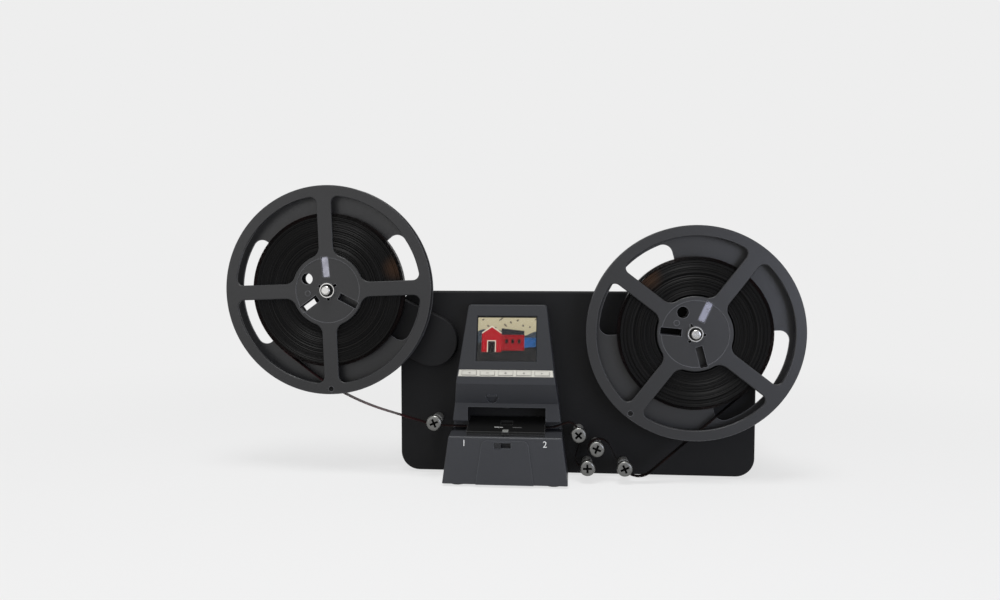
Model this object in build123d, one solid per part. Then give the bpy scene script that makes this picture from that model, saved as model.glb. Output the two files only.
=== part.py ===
from build123d import *
import os
from math import asin, atan2, cos, degrees, hypot, pi, radians, sin, sqrt, tan

# Table-top digitizer for 8 mm film reels. Millimetres: x to the right, y to the back, z up.
# The origin lies on the table, under the middle of the whole machine.
# Depth is given as a reach: how far a point stands in front of the fascia's front face.
# A spot is a place seen from the front: (x, z).

# Body: front fascia and rear housing
FOOT_STAND = 2.0
BODY_WIDTH = 305.0
BODY_DEPTH = 90.0
FASCIA_THICK = 6.0
FASCIA_CORNER = 16.0
FASCIA_EDGE = 2.0
HOUSING_INSET = 4.0
HOUSING_WALL = 2.5
HOUSING_CORNER = 12.0
HOUSING_EDGE = 5.0
FOOT_RADIUS = 7.0
FOOT_INSET = 16.0
FRONT_FOOT_REACH = 30.0
FRONT_FOOT_INSET = 12.0
VENT_COUNT = 9
VENT_PITCH = 8.0
VENT_LENGTH = 34.0
VENT_WIDTH = 2.4

# Console: the grey tower on the front
CONSOLE_WALL = 3.0
CONSOLE_EDGE = 0.8
LEDGE_EDGE = 2.0
SEAM_DEG = 5.0
CONSOLE_FOOT_HALF = 52.1
CONSOLE_TOP_HALF = 33.2
BASE_REACH = 42.0
LEDGE_REACH = 38.0
LEDGE_HEIGHT = 39.0
LEDGE_RISE = 2.3
PILLAR_REACH = 21.5
FILM_SLOT_DEPTH = 9.5
FILM_SLOT_ROOM = 4.35
GATE_MOUTH = 21.7
LINTEL_HEIGHT = 3.4
LINTEL_TO_CREASE = 17.9
HEAD_OVERHANG = 10.5
CREASE_TO_STRIP = 6.2
STRIP_RISE = 5.3
STRIP_SETBACK = 3.0
STRIP_INSET = 1.0
BEZEL_RISE = 53.6
BEZEL_SETBACK = 17.0
TOP_FALL = 0.06
NICHE_HALF = 33.0
SCOOP_OFFSET = -11.9
SCOOP_DROP = 13.0
SCOOP_HALF = 5.2
SCOOP_HEIGHT = 7.4
SCOOP_DEPTH = 2.0
SCOOP_BAR = 8.2
SCOOP_BAR_HEIGHT = 2.0
SCOOP_BAR_PROUD = 0.7
WINDOW_HALF = 28.0
WINDOW_MARGIN = 9.0

# Screen
BEZEL_THICK = 1.6
BEZEL_CORNER = 3.0
SCREEN_WIDTH = 50.4
SCREEN_HEIGHT = 38.6
SCREEN_DROP = 1.3
SCREEN_BORDER = 2.8
GLASS_THICK = 1.0
PANEL_MODULE_THICK = 3.0
SCREEN_CHAMFER = 0.6

# Keys
KEY_COUNT = 5
KEY_PITCH = 15.2
KEY_WIDTH = 12.0
KEY_HEIGHT = 3.8
KEY_PROUD = 0.8
KEY_FLANGE = 0.4
KEY_FLANGE_THICK = 0.8
KEY_CLEAR = 0.2
KEY_TRAVEL = 0.8
STRIP_PROUD = 0.4
STRIP_THICK = 2.4
SWITCH_HEIGHT = 0.8
KEY_BOARD_HEIGHT = 10.0
BOARD_THICK = 1.6

# Base panel and film format switch
PANEL_THICK = 1.0
PANEL_FOOT_HALF = 24.0
PANEL_TOP_HALF = 19.0
PANEL_DROP = 2.8
PANEL_CORNER = 5.0
SLOT_LENGTH = 14.0
SLOT_HEIGHT = 4.4
SLOT_OFFSET = -2.0
SLOT_DROP = 6.9
KNOB_LENGTH = 5.6
KNOB_CLEAR = 0.3
KNOB_PROUD = 1.7
STEM_LENGTH = 2.4
STEM_DEPTH = 1.8
SWITCH_BODY_LENGTH = 22.0
SWITCH_BODY_HEIGHT = 8.0
SWITCH_BODY_DEPTH = 6.0

# Film and gate
FILM_REACH = 19.0
FILM_WIDTH = 8.0
FILM_THICK = 0.15
FILM_CLEAR = 0.1
CHANNEL_CLEAR = 0.15
CHANNEL_DEPTH = 0.4
BED_HEIGHT = 5.2
BED_CLEAR = 0.15
BED_FRONT = 15.0
BED_RAIL = 1.0
BED_LIP_THICK = 1.2
HINGE_RADIUS = 2.25
HINGE_PIN_RADIUS = 1.2
HINGE_CLEAR = 0.08
EAR_LENGTH = 2.6
EAR_GAP = 0.3
COVER_LIFT = 0.15
COVER_FRONT_THICK = 2.25
COVER_BACK_THICK = 5.85
PICTURE_OFFSET = 1.2
APERTURE_WIDTH = 10.0
APERTURE_DEPTH = 7.5
LATCH_WIDTH = 5.0
LATCH_BACK = 3.0
LATCH_FRONT = 1.6
LATCH_PROUD = 0.35
DIFFUSER_LENGTH = 12.8
DIFFUSER_DEPTH = 8.8
LIGHT_BOARD_LENGTH = 19.0
LIGHT_BOARD_DEPTH = 15.0
LENS_RADIUS = 3.6
LENS_LENGTH = 8.0
LENS_NOSE_RADIUS = 2.7
LENS_DROP = 1.0
LENS_GLASS_RADIUS = 2.0
LENS_BOSS_RADIUS = 6.0
LENS_BOSS_HEIGHT = 9.3
CAMERA_BOARD = 16.0

# Film claw, its cam and motor in the base
CLAW_OFFSET = 14.0
CLAW_PIVOT_HEIGHT = 7.0
CLAW_AXLE_RADIUS = 1.5
CLAW_THICK = 1.6
CLAW_WIDTH = 5.0
CLAW_TIP_WIDTH = 1.6
CLAW_TIP_DROP = 0.35
CLAW_SWING_DEG = 3.3
CLAW_EDGE_INSET = 0.9
CAM_HEIGHT = 25.0
CAM_RADIUS = 5.0
CAM_THICK = 2.0
CAM_THROW = 2.1
CAM_PIN_RADIUS = 1.2
YOKE_WIDTH = 10.8
YOKE_HEIGHT = 8.4
YOKE_WALL = 1.6
CLAW_MOTOR_RADIUS = 10.0
CLAW_MOTOR_LENGTH = 16.0
MOTOR_SHAFT_RADIUS = 1.5

# Reels
SUPPLY_OUT = 57.4
SUPPLY_HEIGHT = 159.2
TAKEUP_ASIDE = 1.74
TAKEUP_HEIGHT = 124.6
REEL_RADIUS = 89.0
RIM_INNER = 80.0
HUB_RADIUS = 31.0
SPOKE_WIDTH = 12.7
HUB_FLARE = 9.0
RIM_FLARE = 5.5
FLANGE_THICK = 1.5
REEL_GAP = 9.0
RIM_EDGE = 0.5
WINDOW_EDGE = 0.9
BACK_WINDOW_INNER = 57.0
BACK_WINDOW_OUTER = 78.0
BACK_WINDOW_DEG = 77.0
BACK_WINDOW_CORNER = 8.0
CORE_WALL = 1.6
REEL_BORE = 6.35
TUBE_WALL = 2.4
DISH_RADIUS = 27.5
DISH_DEPTH = 0.6
HUB_SLOT_INNER = 11.0
HUB_SLOT_OUTER = 28.5
HUB_SLOT_WIDTH = 6.0
HUB_PORT_RADIUS = 4.8
HUB_PORT_OUT = 20.3
HUB_BOSS_RADIUS = 2.3
HUB_BOSS_OUT = 17.5
HUB_BOSS_DEG = 187.0
KEYWAY_WIDTH = 2.2
KEYWAY_DEPTH = 2.4
KEYWAY_DEG = 32.0
RIM_HOLE_RADIUS = 2.2
RIM_HOLE_DEG = 269.5
CLIP_THICK = 0.5
CLIP_WIDTH = 7.6
SUPPLY_TURN_DEG = 2.0
TAKEUP_TURN_DEG = -37.5
TAKEUP_WINDOW_TURN_DEG = -36.5
# places round each hub, from a spoke: open slot, through slot, front slot and round port
SUPPLY_HUB_DEG = (93.4, 214.5, 331.0, 149.6)
TAKEUP_HUB_DEG = (103.1, 212.6, 323.0, 157.3)
SUPPLY_PACK_RADIUS = 65.6
TAKEUP_PACK_RADIUS = 63.5
PACK_CLEAR = 0.2
LOOSE_TURNS = 4
TURN_PITCH = 0.6

# Spindles, supply arm and take-up drive
SLEEVE_CLEAR = 0.08
SPINDLE_JOURNAL = 4.0
SPINDLE_FLANGE = 11.0
SPINDLE_PAST_REEL = 2.0
SPINDLE_TIP_RADIUS = 4.1
SPINDLE_TIP_LENGTH = 4.5
SPINDLE_TIP_EDGE = 1.4
RUN_CLEAR = 0.06
FACE_GAP = 0.3
ARM_PIVOT_INSET = 29.2
ARM_PIVOT_HEIGHT = 115.0
ARM_PIVOT_RADIUS = 22.2
ARM_CONSOLE_GAP = 3.32
ARM_END_RADIUS = 19.0
ARM_THICK = 8.0
ARM_EDGE = 1.2
ARM_SKIN = 2.5
WASHER_THICK = 0.7
WASHER_RADIUS = 12.0
BOLT_RADIUS = 5.0
BOLT_HEAD_RADIUS = 9.0
BOLT_HEAD_THICK = 3.0
BUSH_WALL = 2.0
BUSH_FLANGE = 2.5
BUSH_FLANGE_THICK = 0.8
GEAR_MODULE = 1.0
GEAR_TEETH = 42
PINION_TEETH = 14
GEAR_WIDTH = 6.0
GEAR_BEHIND = 6.0
GEAR_SLACK = 0.3
GEAR_HEADROOM = 5.15
TOOTH_BACKLASH = 0.3
TOOTH_ADDENDUM = 0.75
TOOTH_DEDENDUM = 1.15
PRESSURE_DEG = 20.0
TAKEUP_MOTOR_RADIUS = 12.0
TAKEUP_MOTOR_LENGTH = 26.0
BRACKET_THICK = 2.0
BRACKET_BEHIND = 2.0
BRACKET_WIDTH = 44.0
BRACKET_HEIGHT = 34.0
STANDOFF_RADIUS = 4.0
STANDOFF_INSET = 6.0

# Guide rollers: places from the middle of the console and the film's height in the gate
ROLLER_GROOVE = 3.0
ROLLER_COLLAR = 4.4
ROLLER_RIM = 5.2
ROLLER_RIM_THICK = 1.1
ROLLER_BORE_CLEAR = 0.08
ROLLER_SCREW_RADIUS = 2.0
ROLLER_SCREW_BITE = 8.0
ROLLER_HEAD_RADIUS = 6.6
ROLLER_HEAD_THICK = 3.4
ROLLER_HEAD_EDGE = 2.0
ROLLER_HEAD_GAP = 1.0
CROSS_LENGTH = 7.4
CROSS_WIDTH = 1.8
CROSS_DEPTH = 2.2
CROSS_STEP_DEG = 23.0
ROLLER_1_OFFSET = -61.1
ROLLER_OFFSETS = [(60.6, -4.9), (75.7, -16.3), (68.1, -32.7), (99.0, -32.4)]

# Slack in the threaded film: bends that no roller makes, as (x, z, radius) from the same places
GATE_EXIT = (34.5, 25.0, 25.0)
CREST_LOOP = (52.5, -2.0, 6.5)
CHEEK_LOOP = (66.0, -25.5, 8.0)
LONG_LOOP = (78.0, -18.8, 9.8)
LAST_DIP = (110.5, -24.9, 15.0)

# Sag of the film between the supply reel and the first roller, with the straight runs at its two ends
SAG_RADIUS = 200.0
SAG_LEAD = 27.5
SAG_TAIL = 43.7

# Fasteners and the parts in the rear housing
SCREW_RADIUS = 1.5
SCREW_LENGTH = 12.0
SCREW_HEAD_RADIUS = 3.0
SCREW_HEAD_THICK = 2.4
SCREW_CLEAR = 0.1
SCREW_GRIP = 6.0
POST_RADIUS = 5.5
BOSS_HEIGHT = 8.0
POST_INSET = 11.0
CONSOLE_POST_RADIUS = 4.5
CONSOLE_POST_LENGTH = 7.5
CONSOLE_POST_LOW = 12.0
CONSOLE_POST_RISE = 15.0
CONSOLE_POST_INSET = 6.0
MAIN_BOARD_WIDTH = 130.0
MAIN_BOARD_HEIGHT = 84.0
MAIN_BOARD_OFFSET = -11.1
MAIN_BOARD_RISE = 1.0
MAIN_BOARD_GAP = 26.0
MAIN_BOARD_INSET = 6.0
CHIP_SIZE = 16.0
CHIP_THICK = 2.0
SOCKET_Z = 26.0
SOCKET_CLEAR = 0.1
JACK_INSET = 30.6
JACK_WIDTH = 10.0
JACK_HEIGHT = 11.0
JACK_DEPTH = 14.0
JACK_BORE = 3.1
JACK_PIN = 1.0
USB_STEP = 22.0
USB_WIDTH = 10.0
USB_HEIGHT = 6.0
USB_DEPTH = 12.0
USB_WALL = 1.0
CARD_STEP = 31.0
CARD_WIDTH = 28.0
CARD_HEIGHT = 6.0
CARD_DEPTH = 20.0
CARD_SLOT_HEIGHT = 2.6
CARD_SLOT_WIDTH = 24.6
BUTTON_Z = 60.0
BUTTON_RADIUS = 5.5
BUTTON_PROUD = 1.8
BUTTON_FLANGE = 1.5
BUTTON_TRAVEL = 1.2
BUTTON_SWITCH_DEPTH = 7.0

# Heights worked out from the sizes above
FASCIA_Y = (BASE_REACH + PANEL_THICK - BODY_DEPTH - BUTTON_PROUD) / 2
BASE_Z = FOOT_STAND
LEDGE_Z = BASE_Z + LEDGE_HEIGHT
LIP_Z = LEDGE_Z + GATE_MOUTH
LINTEL_Z = LIP_Z + LINTEL_HEIGHT
CREASE_Z = LINTEL_Z + LINTEL_TO_CREASE
STRIP_Z = CREASE_Z + CREASE_TO_STRIP
BEZEL_Z = STRIP_Z + STRIP_RISE
TOP_Z = BEZEL_Z + BEZEL_RISE
ARM_PIVOT_Z = BASE_Z + ARM_PIVOT_HEIGHT
TAKEUP_Z = BASE_Z + TAKEUP_HEIGHT
GEAR_PITCH_RADIUS = GEAR_MODULE * GEAR_TEETH / 2
PINION_PITCH_RADIUS = GEAR_MODULE * PINION_TEETH / 2
GEAR_OUTER_RADIUS = GEAR_PITCH_RADIUS + TOOTH_ADDENDUM * GEAR_MODULE
BODY_HEIGHT = TAKEUP_HEIGHT + GEAR_OUTER_RADIUS + GEAR_HEADROOM + HOUSING_WALL + HOUSING_INSET
BODY_Z = FOOT_STAND + BODY_HEIGHT / 2


def console_half(z):
    """Half the console's width at a height: it narrows evenly from foot to top."""
    share = (z - BASE_Z) / (TOP_Z - BASE_Z)
    return CONSOLE_FOOT_HALF + share * (CONSOLE_TOP_HALF - CONSOLE_FOOT_HALF)


# Places across, at first from the body's left side. The console stands clear of the arm's pivot, and the
# take-up spindle lies between the console and the right wall of the housing. The origin is midway
# between the two spindles.
CONSOLE_IN = ARM_PIVOT_INSET + ARM_PIVOT_RADIUS + ARM_CONSOLE_GAP + console_half(ARM_PIVOT_Z - ARM_PIVOT_RADIUS)
CONSOLE_TAPER = (CONSOLE_FOOT_HALF - CONSOLE_TOP_HALF) / (TOP_Z - BASE_Z)
TAKEUP_NEAREST = CONSOLE_IN + console_half(TAKEUP_Z) + REEL_RADIUS * hypot(1, CONSOLE_TAPER)
TAKEUP_FARTHEST = BODY_WIDTH - HOUSING_INSET - HOUSING_WALL - BRACKET_WIDTH / 2 - FACE_GAP
TAKEUP_IN = (TAKEUP_NEAREST + TAKEUP_FARTHEST) / 2 + TAKEUP_ASIDE
BODY_LEFT = (SUPPLY_OUT - TAKEUP_IN) / 2
BODY_X = BODY_LEFT + BODY_WIDTH / 2
CONSOLE_X = BODY_LEFT + CONSOLE_IN
SUPPLY = (BODY_LEFT - SUPPLY_OUT, BASE_Z + SUPPLY_HEIGHT)
TAKEUP = (BODY_LEFT + TAKEUP_IN, TAKEUP_Z)
ARM_PIVOT = (BODY_LEFT + ARM_PIVOT_INSET, ARM_PIVOT_Z)
PINION = (TAKEUP[0], TAKEUP[1] - GEAR_PITCH_RADIUS - PINION_PITCH_RADIUS - GEAR_SLACK)
JACK_X = BODY_LEFT + BODY_WIDTH - JACK_INSET
USB_X = JACK_X - USB_STEP
CARD_X = USB_X - CARD_STEP
BUTTON_X = JACK_X
MAIN_BOARD_X = BODY_X + MAIN_BOARD_OFFSET
MAIN_BOARD_Z = BODY_Z + MAIN_BOARD_RISE

# Film, gate and depths
BED_TOP = LEDGE_Z + BED_HEIGHT
CHANNEL_FLOOR = BED_TOP - CHANNEL_DEPTH
FILM_Z = CHANNEL_FLOOR + FILM_CLEAR + FILM_THICK
FILM_BACK = FILM_REACH - FILM_WIDTH / 2
FILM_FRONT = FILM_REACH + FILM_WIDTH / 2
PICTURE_REACH = FILM_REACH - PICTURE_OFFSET
GATE_SPOT = (CONSOLE_X, FILM_Z)
FILM_SLOT_TOP = FILM_Z + FILM_SLOT_ROOM
FILM_SLOT_BACK = PILLAR_REACH - FILM_SLOT_DEPTH
HEAD_REACH = PILLAR_REACH + HEAD_OVERHANG
BEZEL_REACH = HEAD_REACH - STRIP_SETBACK
TOP_REACH = BEZEL_REACH - BEZEL_SETBACK
RAIL_REACH = FILM_FRONT + CHANNEL_CLEAR + BED_RAIL
BED_FRONT_REACH = FILM_REACH + BED_FRONT
COVER_BOTTOM = BED_TOP + COVER_LIFT
COVER_FRONT_BOTTOM = LEDGE_Z + BED_LIP_THICK + COVER_LIFT
HINGE_REACH = CONSOLE_WALL + HINGE_RADIUS + HINGE_CLEAR + FACE_GAP
HINGE_Z = COVER_BOTTOM + HINGE_RADIUS
REEL_INNER_BACK = FILM_REACH - REEL_GAP / 2
REEL_INNER_FRONT = FILM_REACH + REEL_GAP / 2
REEL_BACK = REEL_INNER_BACK - FLANGE_THICK
REEL_FRONT = REEL_INNER_FRONT + FLANGE_THICK
ARM_BACK = FACE_GAP + WASHER_THICK
ARM_FRONT = ARM_BACK + ARM_THICK
SLEEVE_RADIUS = REEL_BORE - SLEEVE_CLEAR
ROLLER_PATH = ROLLER_GROOVE + FILM_CLEAR + FILM_THICK / 2
HOUSING_BACK = -BODY_DEPTH
HOUSING_FLOOR = HOUSING_BACK + HOUSING_WALL
GEAR_FRONT = -FASCIA_THICK - GEAR_BEHIND
GEAR_BACK = GEAR_FRONT - GEAR_WIDTH
BRACKET_FRONT = GEAR_BACK - BRACKET_BEHIND
CLAW_X = CONSOLE_X + CLAW_OFFSET
CLAW_REACH = FILM_FRONT - CLAW_EDGE_INSET
CLAW_PIVOT = (CLAW_X, BASE_Z + CLAW_PIVOT_HEIGHT)
CAM = (CLAW_X, BASE_Z + CAM_HEIGHT)
MAIN_BOARD_BACK = HOUSING_FLOOR + MAIN_BOARD_GAP


def front_plane(reach):
    """Plane that faces the viewer at a reach; its own x and y are x and z."""
    return Plane.XZ.offset(reach - FASCIA_Y)


def side_plane(x):
    """Plane across the machine at x; its own x and y are the reach and z."""
    return Plane(origin=(x, FASCIA_Y, 0), x_dir=(0, -1, 0), z_dir=(-1, 0, 0))


def plate(sketch, reach_from, reach_to):
    """A shape seen from the front, carried from one reach to another."""
    return extrude(front_plane(reach_from) * sketch, reach_to - reach_from)


def disc(spot, radius, reach_from, reach_to):
    return plate(Pos(*spot) * Circle(radius), reach_from, reach_to)


def ring(spot, outer, inner, reach_from, reach_to):
    return plate(Pos(*spot) * (Circle(outer) - Circle(inner)), reach_from, reach_to)


def prism(sketch, x_from, x_to):
    """A shape seen from the side, in reach and z, carried across from one x to another."""
    return extrude(side_plane(x_to) * sketch, x_to - x_from)


def block(x_from, x_to, reach_from, reach_to, z_from, z_to):
    middle = ((x_from + x_to) / 2, FASCIA_Y - (reach_from + reach_to) / 2, (z_from + z_to) / 2)
    return Pos(*middle) * Box(x_to - x_from, reach_to - reach_from, z_to - z_from)


def outline(points):
    return make_face(Polyline(*points, close=True))


def from_gate(offset, drop):
    """A spot given from the middle of the console and the film's height in the gate."""
    return (GATE_SPOT[0] + offset, GATE_SPOT[1] + drop)


def face_plane(lower, upper):
    """Plane on a sloping face of the console between two edges (reach, z); z points outwards."""
    rise = upper[1] - lower[1]
    back = lower[0] - upper[0]
    middle = (CONSOLE_X, FASCIA_Y - (lower[0] + upper[0]) / 2, (lower[1] + upper[1]) / 2)
    return Plane(origin=middle, x_dir=(1, 0, 0), z_dir=(0, -rise, back))


def length_between(lower, upper):
    return hypot(upper[0] - lower[0], upper[1] - lower[1])


SLOPE_LOW, SLOPE_HIGH = (PILLAR_REACH, LINTEL_Z), (HEAD_REACH, CREASE_Z)
STRIP_LOW, STRIP_HIGH = (HEAD_REACH, STRIP_Z), (BEZEL_REACH, BEZEL_Z)
BEZEL_LOW, BEZEL_HIGH = STRIP_HIGH, (TOP_REACH, TOP_Z)
FRONT_LOW, FRONT_HIGH = (BASE_REACH, BASE_Z), (LEDGE_REACH, LEDGE_Z)
SLOPE_PLANE = face_plane(SLOPE_LOW, SLOPE_HIGH)
STRIP_PLANE = face_plane(STRIP_LOW, STRIP_HIGH)
BEZEL_PLANE = face_plane(BEZEL_LOW, BEZEL_HIGH)
FRONT_PLANE = face_plane(FRONT_LOW, FRONT_HIGH)
SLOPE_LENGTH = length_between(SLOPE_LOW, SLOPE_HIGH)
STRIP_LENGTH = length_between(STRIP_LOW, STRIP_HIGH)
BEZEL_LENGTH = length_between(BEZEL_LOW, BEZEL_HIGH)
FRONT_LENGTH = length_between(FRONT_LOW, FRONT_HIGH)
SIDE_SPAN = 2 * CONSOLE_FOOT_HALF


def slab(plane, x, y, length, height, low, high):
    """A box on a sloping plane: its middle x and y there, its size, and its lowest and highest level."""
    return plane * (Pos(x, y, (low + high) / 2) * Box(length, height, high - low))


def console_front(inset):
    """The console seen from the front, drawn in by a wall and open at the top."""
    high = TOP_Z + CONSOLE_WALL
    foot, top = console_half(BASE_Z) - inset, console_half(high) - inset
    corners = [(-foot, BASE_Z), (foot, BASE_Z), (top, high), (-top, high)]
    return Pos(CONSOLE_X, 0) * outline(corners)


def console_side(back):
    """The console seen from the side, from a reach at its back."""
    return outline([
        (back, BASE_Z), FRONT_LOW, FRONT_HIGH,
        (FILM_SLOT_BACK, LEDGE_Z + LEDGE_RISE), (FILM_SLOT_BACK, FILM_SLOT_TOP), (PILLAR_REACH, FILM_SLOT_TOP),
        SLOPE_LOW, SLOPE_HIGH, STRIP_LOW, STRIP_HIGH, BEZEL_HIGH,
        (back, TOP_Z - TOP_FALL * (TOP_REACH - back)),
    ])


def across_console(sketch):
    return prism(sketch, CONSOLE_X - SIDE_SPAN, CONSOLE_X + SIDE_SPAN)


def sharp_edges(body):
    """Edges where two faces meet at an angle; the seams of a fillet are smooth and are left out."""
    sharp = []
    for edge in body.edges():
        sides = [face.normal_at(edge @ 0.5) for face in body.faces() if edge in face.edges()]
        if sides[0].dot(sides[1]) < cos(radians(SEAM_DEG)):
            sharp.append(edge)
    return ShapeList(sharp)


def console_body():
    """The console's outer form, rounder at its top corners and along the front of the ledge."""
    body = across_console(console_side(0)) & plate(console_front(0), 0, BASE_REACH)
    corners = body.edges().sort_by(Axis.Z)[-4:].filter_by(Axis.X, reverse=True)
    body = fillet(corners, BEZEL_CORNER)
    ledge_middle = (CONSOLE_X, FASCIA_Y - LEDGE_REACH, LEDGE_Z)
    body = fillet(body.edges().filter_by(Axis.X).sort_by_distance(ledge_middle)[:1], LEDGE_EDGE)
    shown = sharp_edges(body).filter_by(lambda edge: edge.center().Y < FASCIA_Y - FASCIA_EDGE / 2)
    return fillet(shown, CONSOLE_EDGE)


def bezel_outline():
    low, high = console_half(BEZEL_Z), console_half(TOP_Z)
    half = BEZEL_LENGTH / 2
    face = outline([(-low, -half), (low, -half), (high, half), (-high, half)])
    return fillet(face.vertices().sort_by(Axis.Y)[-2:], BEZEL_CORNER)


def console_posts():
    low, high = BASE_Z + CONSOLE_POST_LOW, BEZEL_Z + CONSOLE_POST_RISE
    spots = []
    for z in (low, high):
        for side in (-1, 1):
            spots.append((CONSOLE_X + side * (console_half(z) - CONSOLE_POST_INSET), z))
    return spots


def claw_slot(z_from, z_to):
    half = CLAW_TIP_WIDTH / 2 + (BED_TOP - CLAW_PIVOT[1]) * tan(radians(CLAW_SWING_DEG)) + FACE_GAP
    reach_half = CLAW_THICK / 2 + FACE_GAP
    return block(CLAW_X - half, CLAW_X + half, CLAW_REACH - reach_half, CLAW_REACH + reach_half, z_from, z_to)


def finger_scoop():
    """Shallow half-oval scoop in the sloping face over the gate."""
    top = SLOPE_LENGTH / 2 - SCOOP_DROP
    lower_half = Pos(0, -SCOOP_HEIGHT) * Rectangle(2 * SCOOP_HALF, 2 * SCOOP_HEIGHT)
    scoop = Pos(SCOOP_OFFSET, top) * (Ellipse(SCOOP_HALF, SCOOP_HEIGHT) & lower_half)
    return extrude(SLOPE_PLANE * scoop, SCOOP_DEPTH, both=True)


def scoop_bar():
    """Low bar along the upper edge of the scoop."""
    middle = SLOPE_LENGTH / 2 - SCOOP_DROP + SCOOP_BAR_HEIGHT / 2
    return slab(SLOPE_PLANE, SCOOP_OFFSET, middle, SCOOP_BAR, SCOOP_BAR_HEIGHT, -SCOOP_DEPTH, SCOOP_BAR_PROUD)


def console_shell():
    shell = console_body()
    cavity = across_console(offset(console_side(-2 * CONSOLE_WALL), -CONSOLE_WALL, kind=Kind.INTERSECTION))
    cavity = cavity & plate(console_front(CONSOLE_WALL), -CONSOLE_WALL, BASE_REACH)
    left, right = CONSOLE_X - NICHE_HALF, CONSOLE_X + NICHE_HALF
    wall = CONSOLE_WALL
    cavity -= block(left - wall, right + wall, 0, BASE_REACH, LEDGE_Z - wall, LIP_Z + wall)
    shell -= cavity
    shell -= block(left, right, wall, BASE_REACH, LEDGE_Z, LIP_Z)
    # seats of the bezel, the screen module and the key strip
    shell -= extrude(BEZEL_PLANE * bezel_outline(), BEZEL_THICK, both=True)
    shell -= slab(BEZEL_PLANE, 0, -SCREEN_DROP, SCREEN_WIDTH + 2 * SCREEN_BORDER,
                  SCREEN_HEIGHT + 2 * SCREEN_BORDER, -2 * wall, 0)
    strip_seat = slab(STRIP_PLANE, 0, 0, SIDE_SPAN, STRIP_LENGTH, -STRIP_THICK, STRIP_THICK)
    shell -= strip_seat & plate(console_front(STRIP_INSET), 0, BASE_REACH)
    key_half = KEY_PITCH * (KEY_COUNT - 1) / 2 + KEY_WIDTH / 2 + KEY_FLANGE + KEY_CLEAR
    shell -= slab(STRIP_PLANE, 0, 0, 2 * key_half, KEY_HEIGHT + 2 * (KEY_FLANGE + KEY_CLEAR), -3 * wall, 0)
    shell -= finger_scoop()
    shell += scoop_bar()
    # boss and bore of the lens, and holes for the format switch, the light and the claw
    shell += upright(LENS_BOSS_RADIUS, LIP_Z, lens_seat()) & across_console(console_side(0))
    shell -= upright(LENS_NOSE_RADIUS + SCREW_CLEAR, LIP_Z - wall, lens_seat() + FACE_GAP)
    shell -= slab(FRONT_PLANE, SLOT_OFFSET, FRONT_LENGTH / 2 - SLOT_DROP, SLOT_LENGTH, SLOT_HEIGHT, -2 * wall, 0)
    light_half, light_depth = LIGHT_BOARD_LENGTH / 2 + FACE_GAP, LIGHT_BOARD_DEPTH / 2 + FACE_GAP
    shell -= block(CONSOLE_X - light_half, CONSOLE_X + light_half, PICTURE_REACH - light_depth,
                   PICTURE_REACH + light_depth, LEDGE_Z - 2 * wall, LEDGE_Z)
    shell -= claw_slot(LEDGE_Z - 2 * wall, LEDGE_Z)
    # posts for the screws, the cradle of the claw motor and the axle of the claw
    for spot in console_posts():
        post = disc(spot, CONSOLE_POST_RADIUS, 0, CONSOLE_POST_LENGTH) & plate(console_front(0), 0, BASE_REACH)
        shell += post & across_console(console_side(0))
        shell -= disc(spot, SCREW_RADIUS + SCREW_CLEAR / 2, 0, SCREW_GRIP + FACE_GAP)
    cradle_half = CLAW_MOTOR_RADIUS * 0.8
    cam_back = CLAW_REACH - CLAW_THICK - CAM_THICK
    cradle = block(CLAW_X - cradle_half, CLAW_X + cradle_half, 0, cam_back - CLAW_MOTOR_RADIUS / 2,
                   BASE_Z, CAM[1] - CLAW_MOTOR_RADIUS / 2)
    shell += cradle - disc(CAM, CLAW_MOTOR_RADIUS + RUN_CLEAR, 0, BASE_REACH)
    claw_back = CLAW_REACH - CLAW_THICK / 2
    shell += block(CLAW_X - CLAW_WIDTH, CLAW_X + CLAW_WIDTH, 0, claw_back - FACE_GAP, BASE_Z,
                   CLAW_PIVOT[1] + CLAW_WIDTH / 2)
    shell += disc(CLAW_PIVOT, CLAW_AXLE_RADIUS, claw_back - CLAW_THICK, claw_back + 2 * CLAW_THICK)
    return shell


def screen_bezel():
    bezel = extrude(BEZEL_PLANE * bezel_outline(), -BEZEL_THICK)
    shown = bezel.faces().sort_by(SortBy.AREA)[-2:].sort_by(Axis.Y)[0]
    bezel = fillet(shown.edges(), CONSOLE_EDGE)
    bezel -= slab(BEZEL_PLANE, 0, -SCREEN_DROP, SCREEN_WIDTH, SCREEN_HEIGHT, -BEZEL_THICK, BEZEL_THICK)
    rim = bezel.faces().filter_by(GeomType.PLANE).sort_by(SortBy.AREA)[-2:].sort_by(Axis.Y)[0]
    return chamfer(rim.inner_wires()[0].edges(), SCREEN_CHAMFER)


def screen_layer(low, high):
    return slab(BEZEL_PLANE, 0, -SCREEN_DROP, SCREEN_WIDTH + 2 * SCREEN_BORDER,
                SCREEN_HEIGHT + 2 * SCREEN_BORDER, low, high)


def key_places():
    return [KEY_PITCH * (number - (KEY_COUNT - 1) / 2) for number in range(KEY_COUNT)]


def key_strip():
    """Bright strip across the console with a window for each key and stand-offs for the key board."""
    strip = slab(STRIP_PLANE, 0, 0, SIDE_SPAN, STRIP_LENGTH - KEY_CLEAR, -STRIP_THICK, STRIP_PROUD)
    strip = strip & plate(console_front(STRIP_INSET + KEY_CLEAR / 2), 0, BASE_REACH)
    for x in key_places():
        strip -= slab(STRIP_PLANE, x, 0, KEY_WIDTH + 2 * KEY_CLEAR, KEY_HEIGHT + 2 * KEY_CLEAR,
                      -STRIP_THICK, STRIP_PROUD)
    gap = KEY_PITCH - KEY_WIDTH - 2 * KEY_FLANGE
    for x in key_places()[:-1]:
        strip += slab(STRIP_PLANE, x + KEY_PITCH / 2, 0, gap * 0.6, KEY_HEIGHT, key_board_top(), -STRIP_THICK)
    return strip


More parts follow.
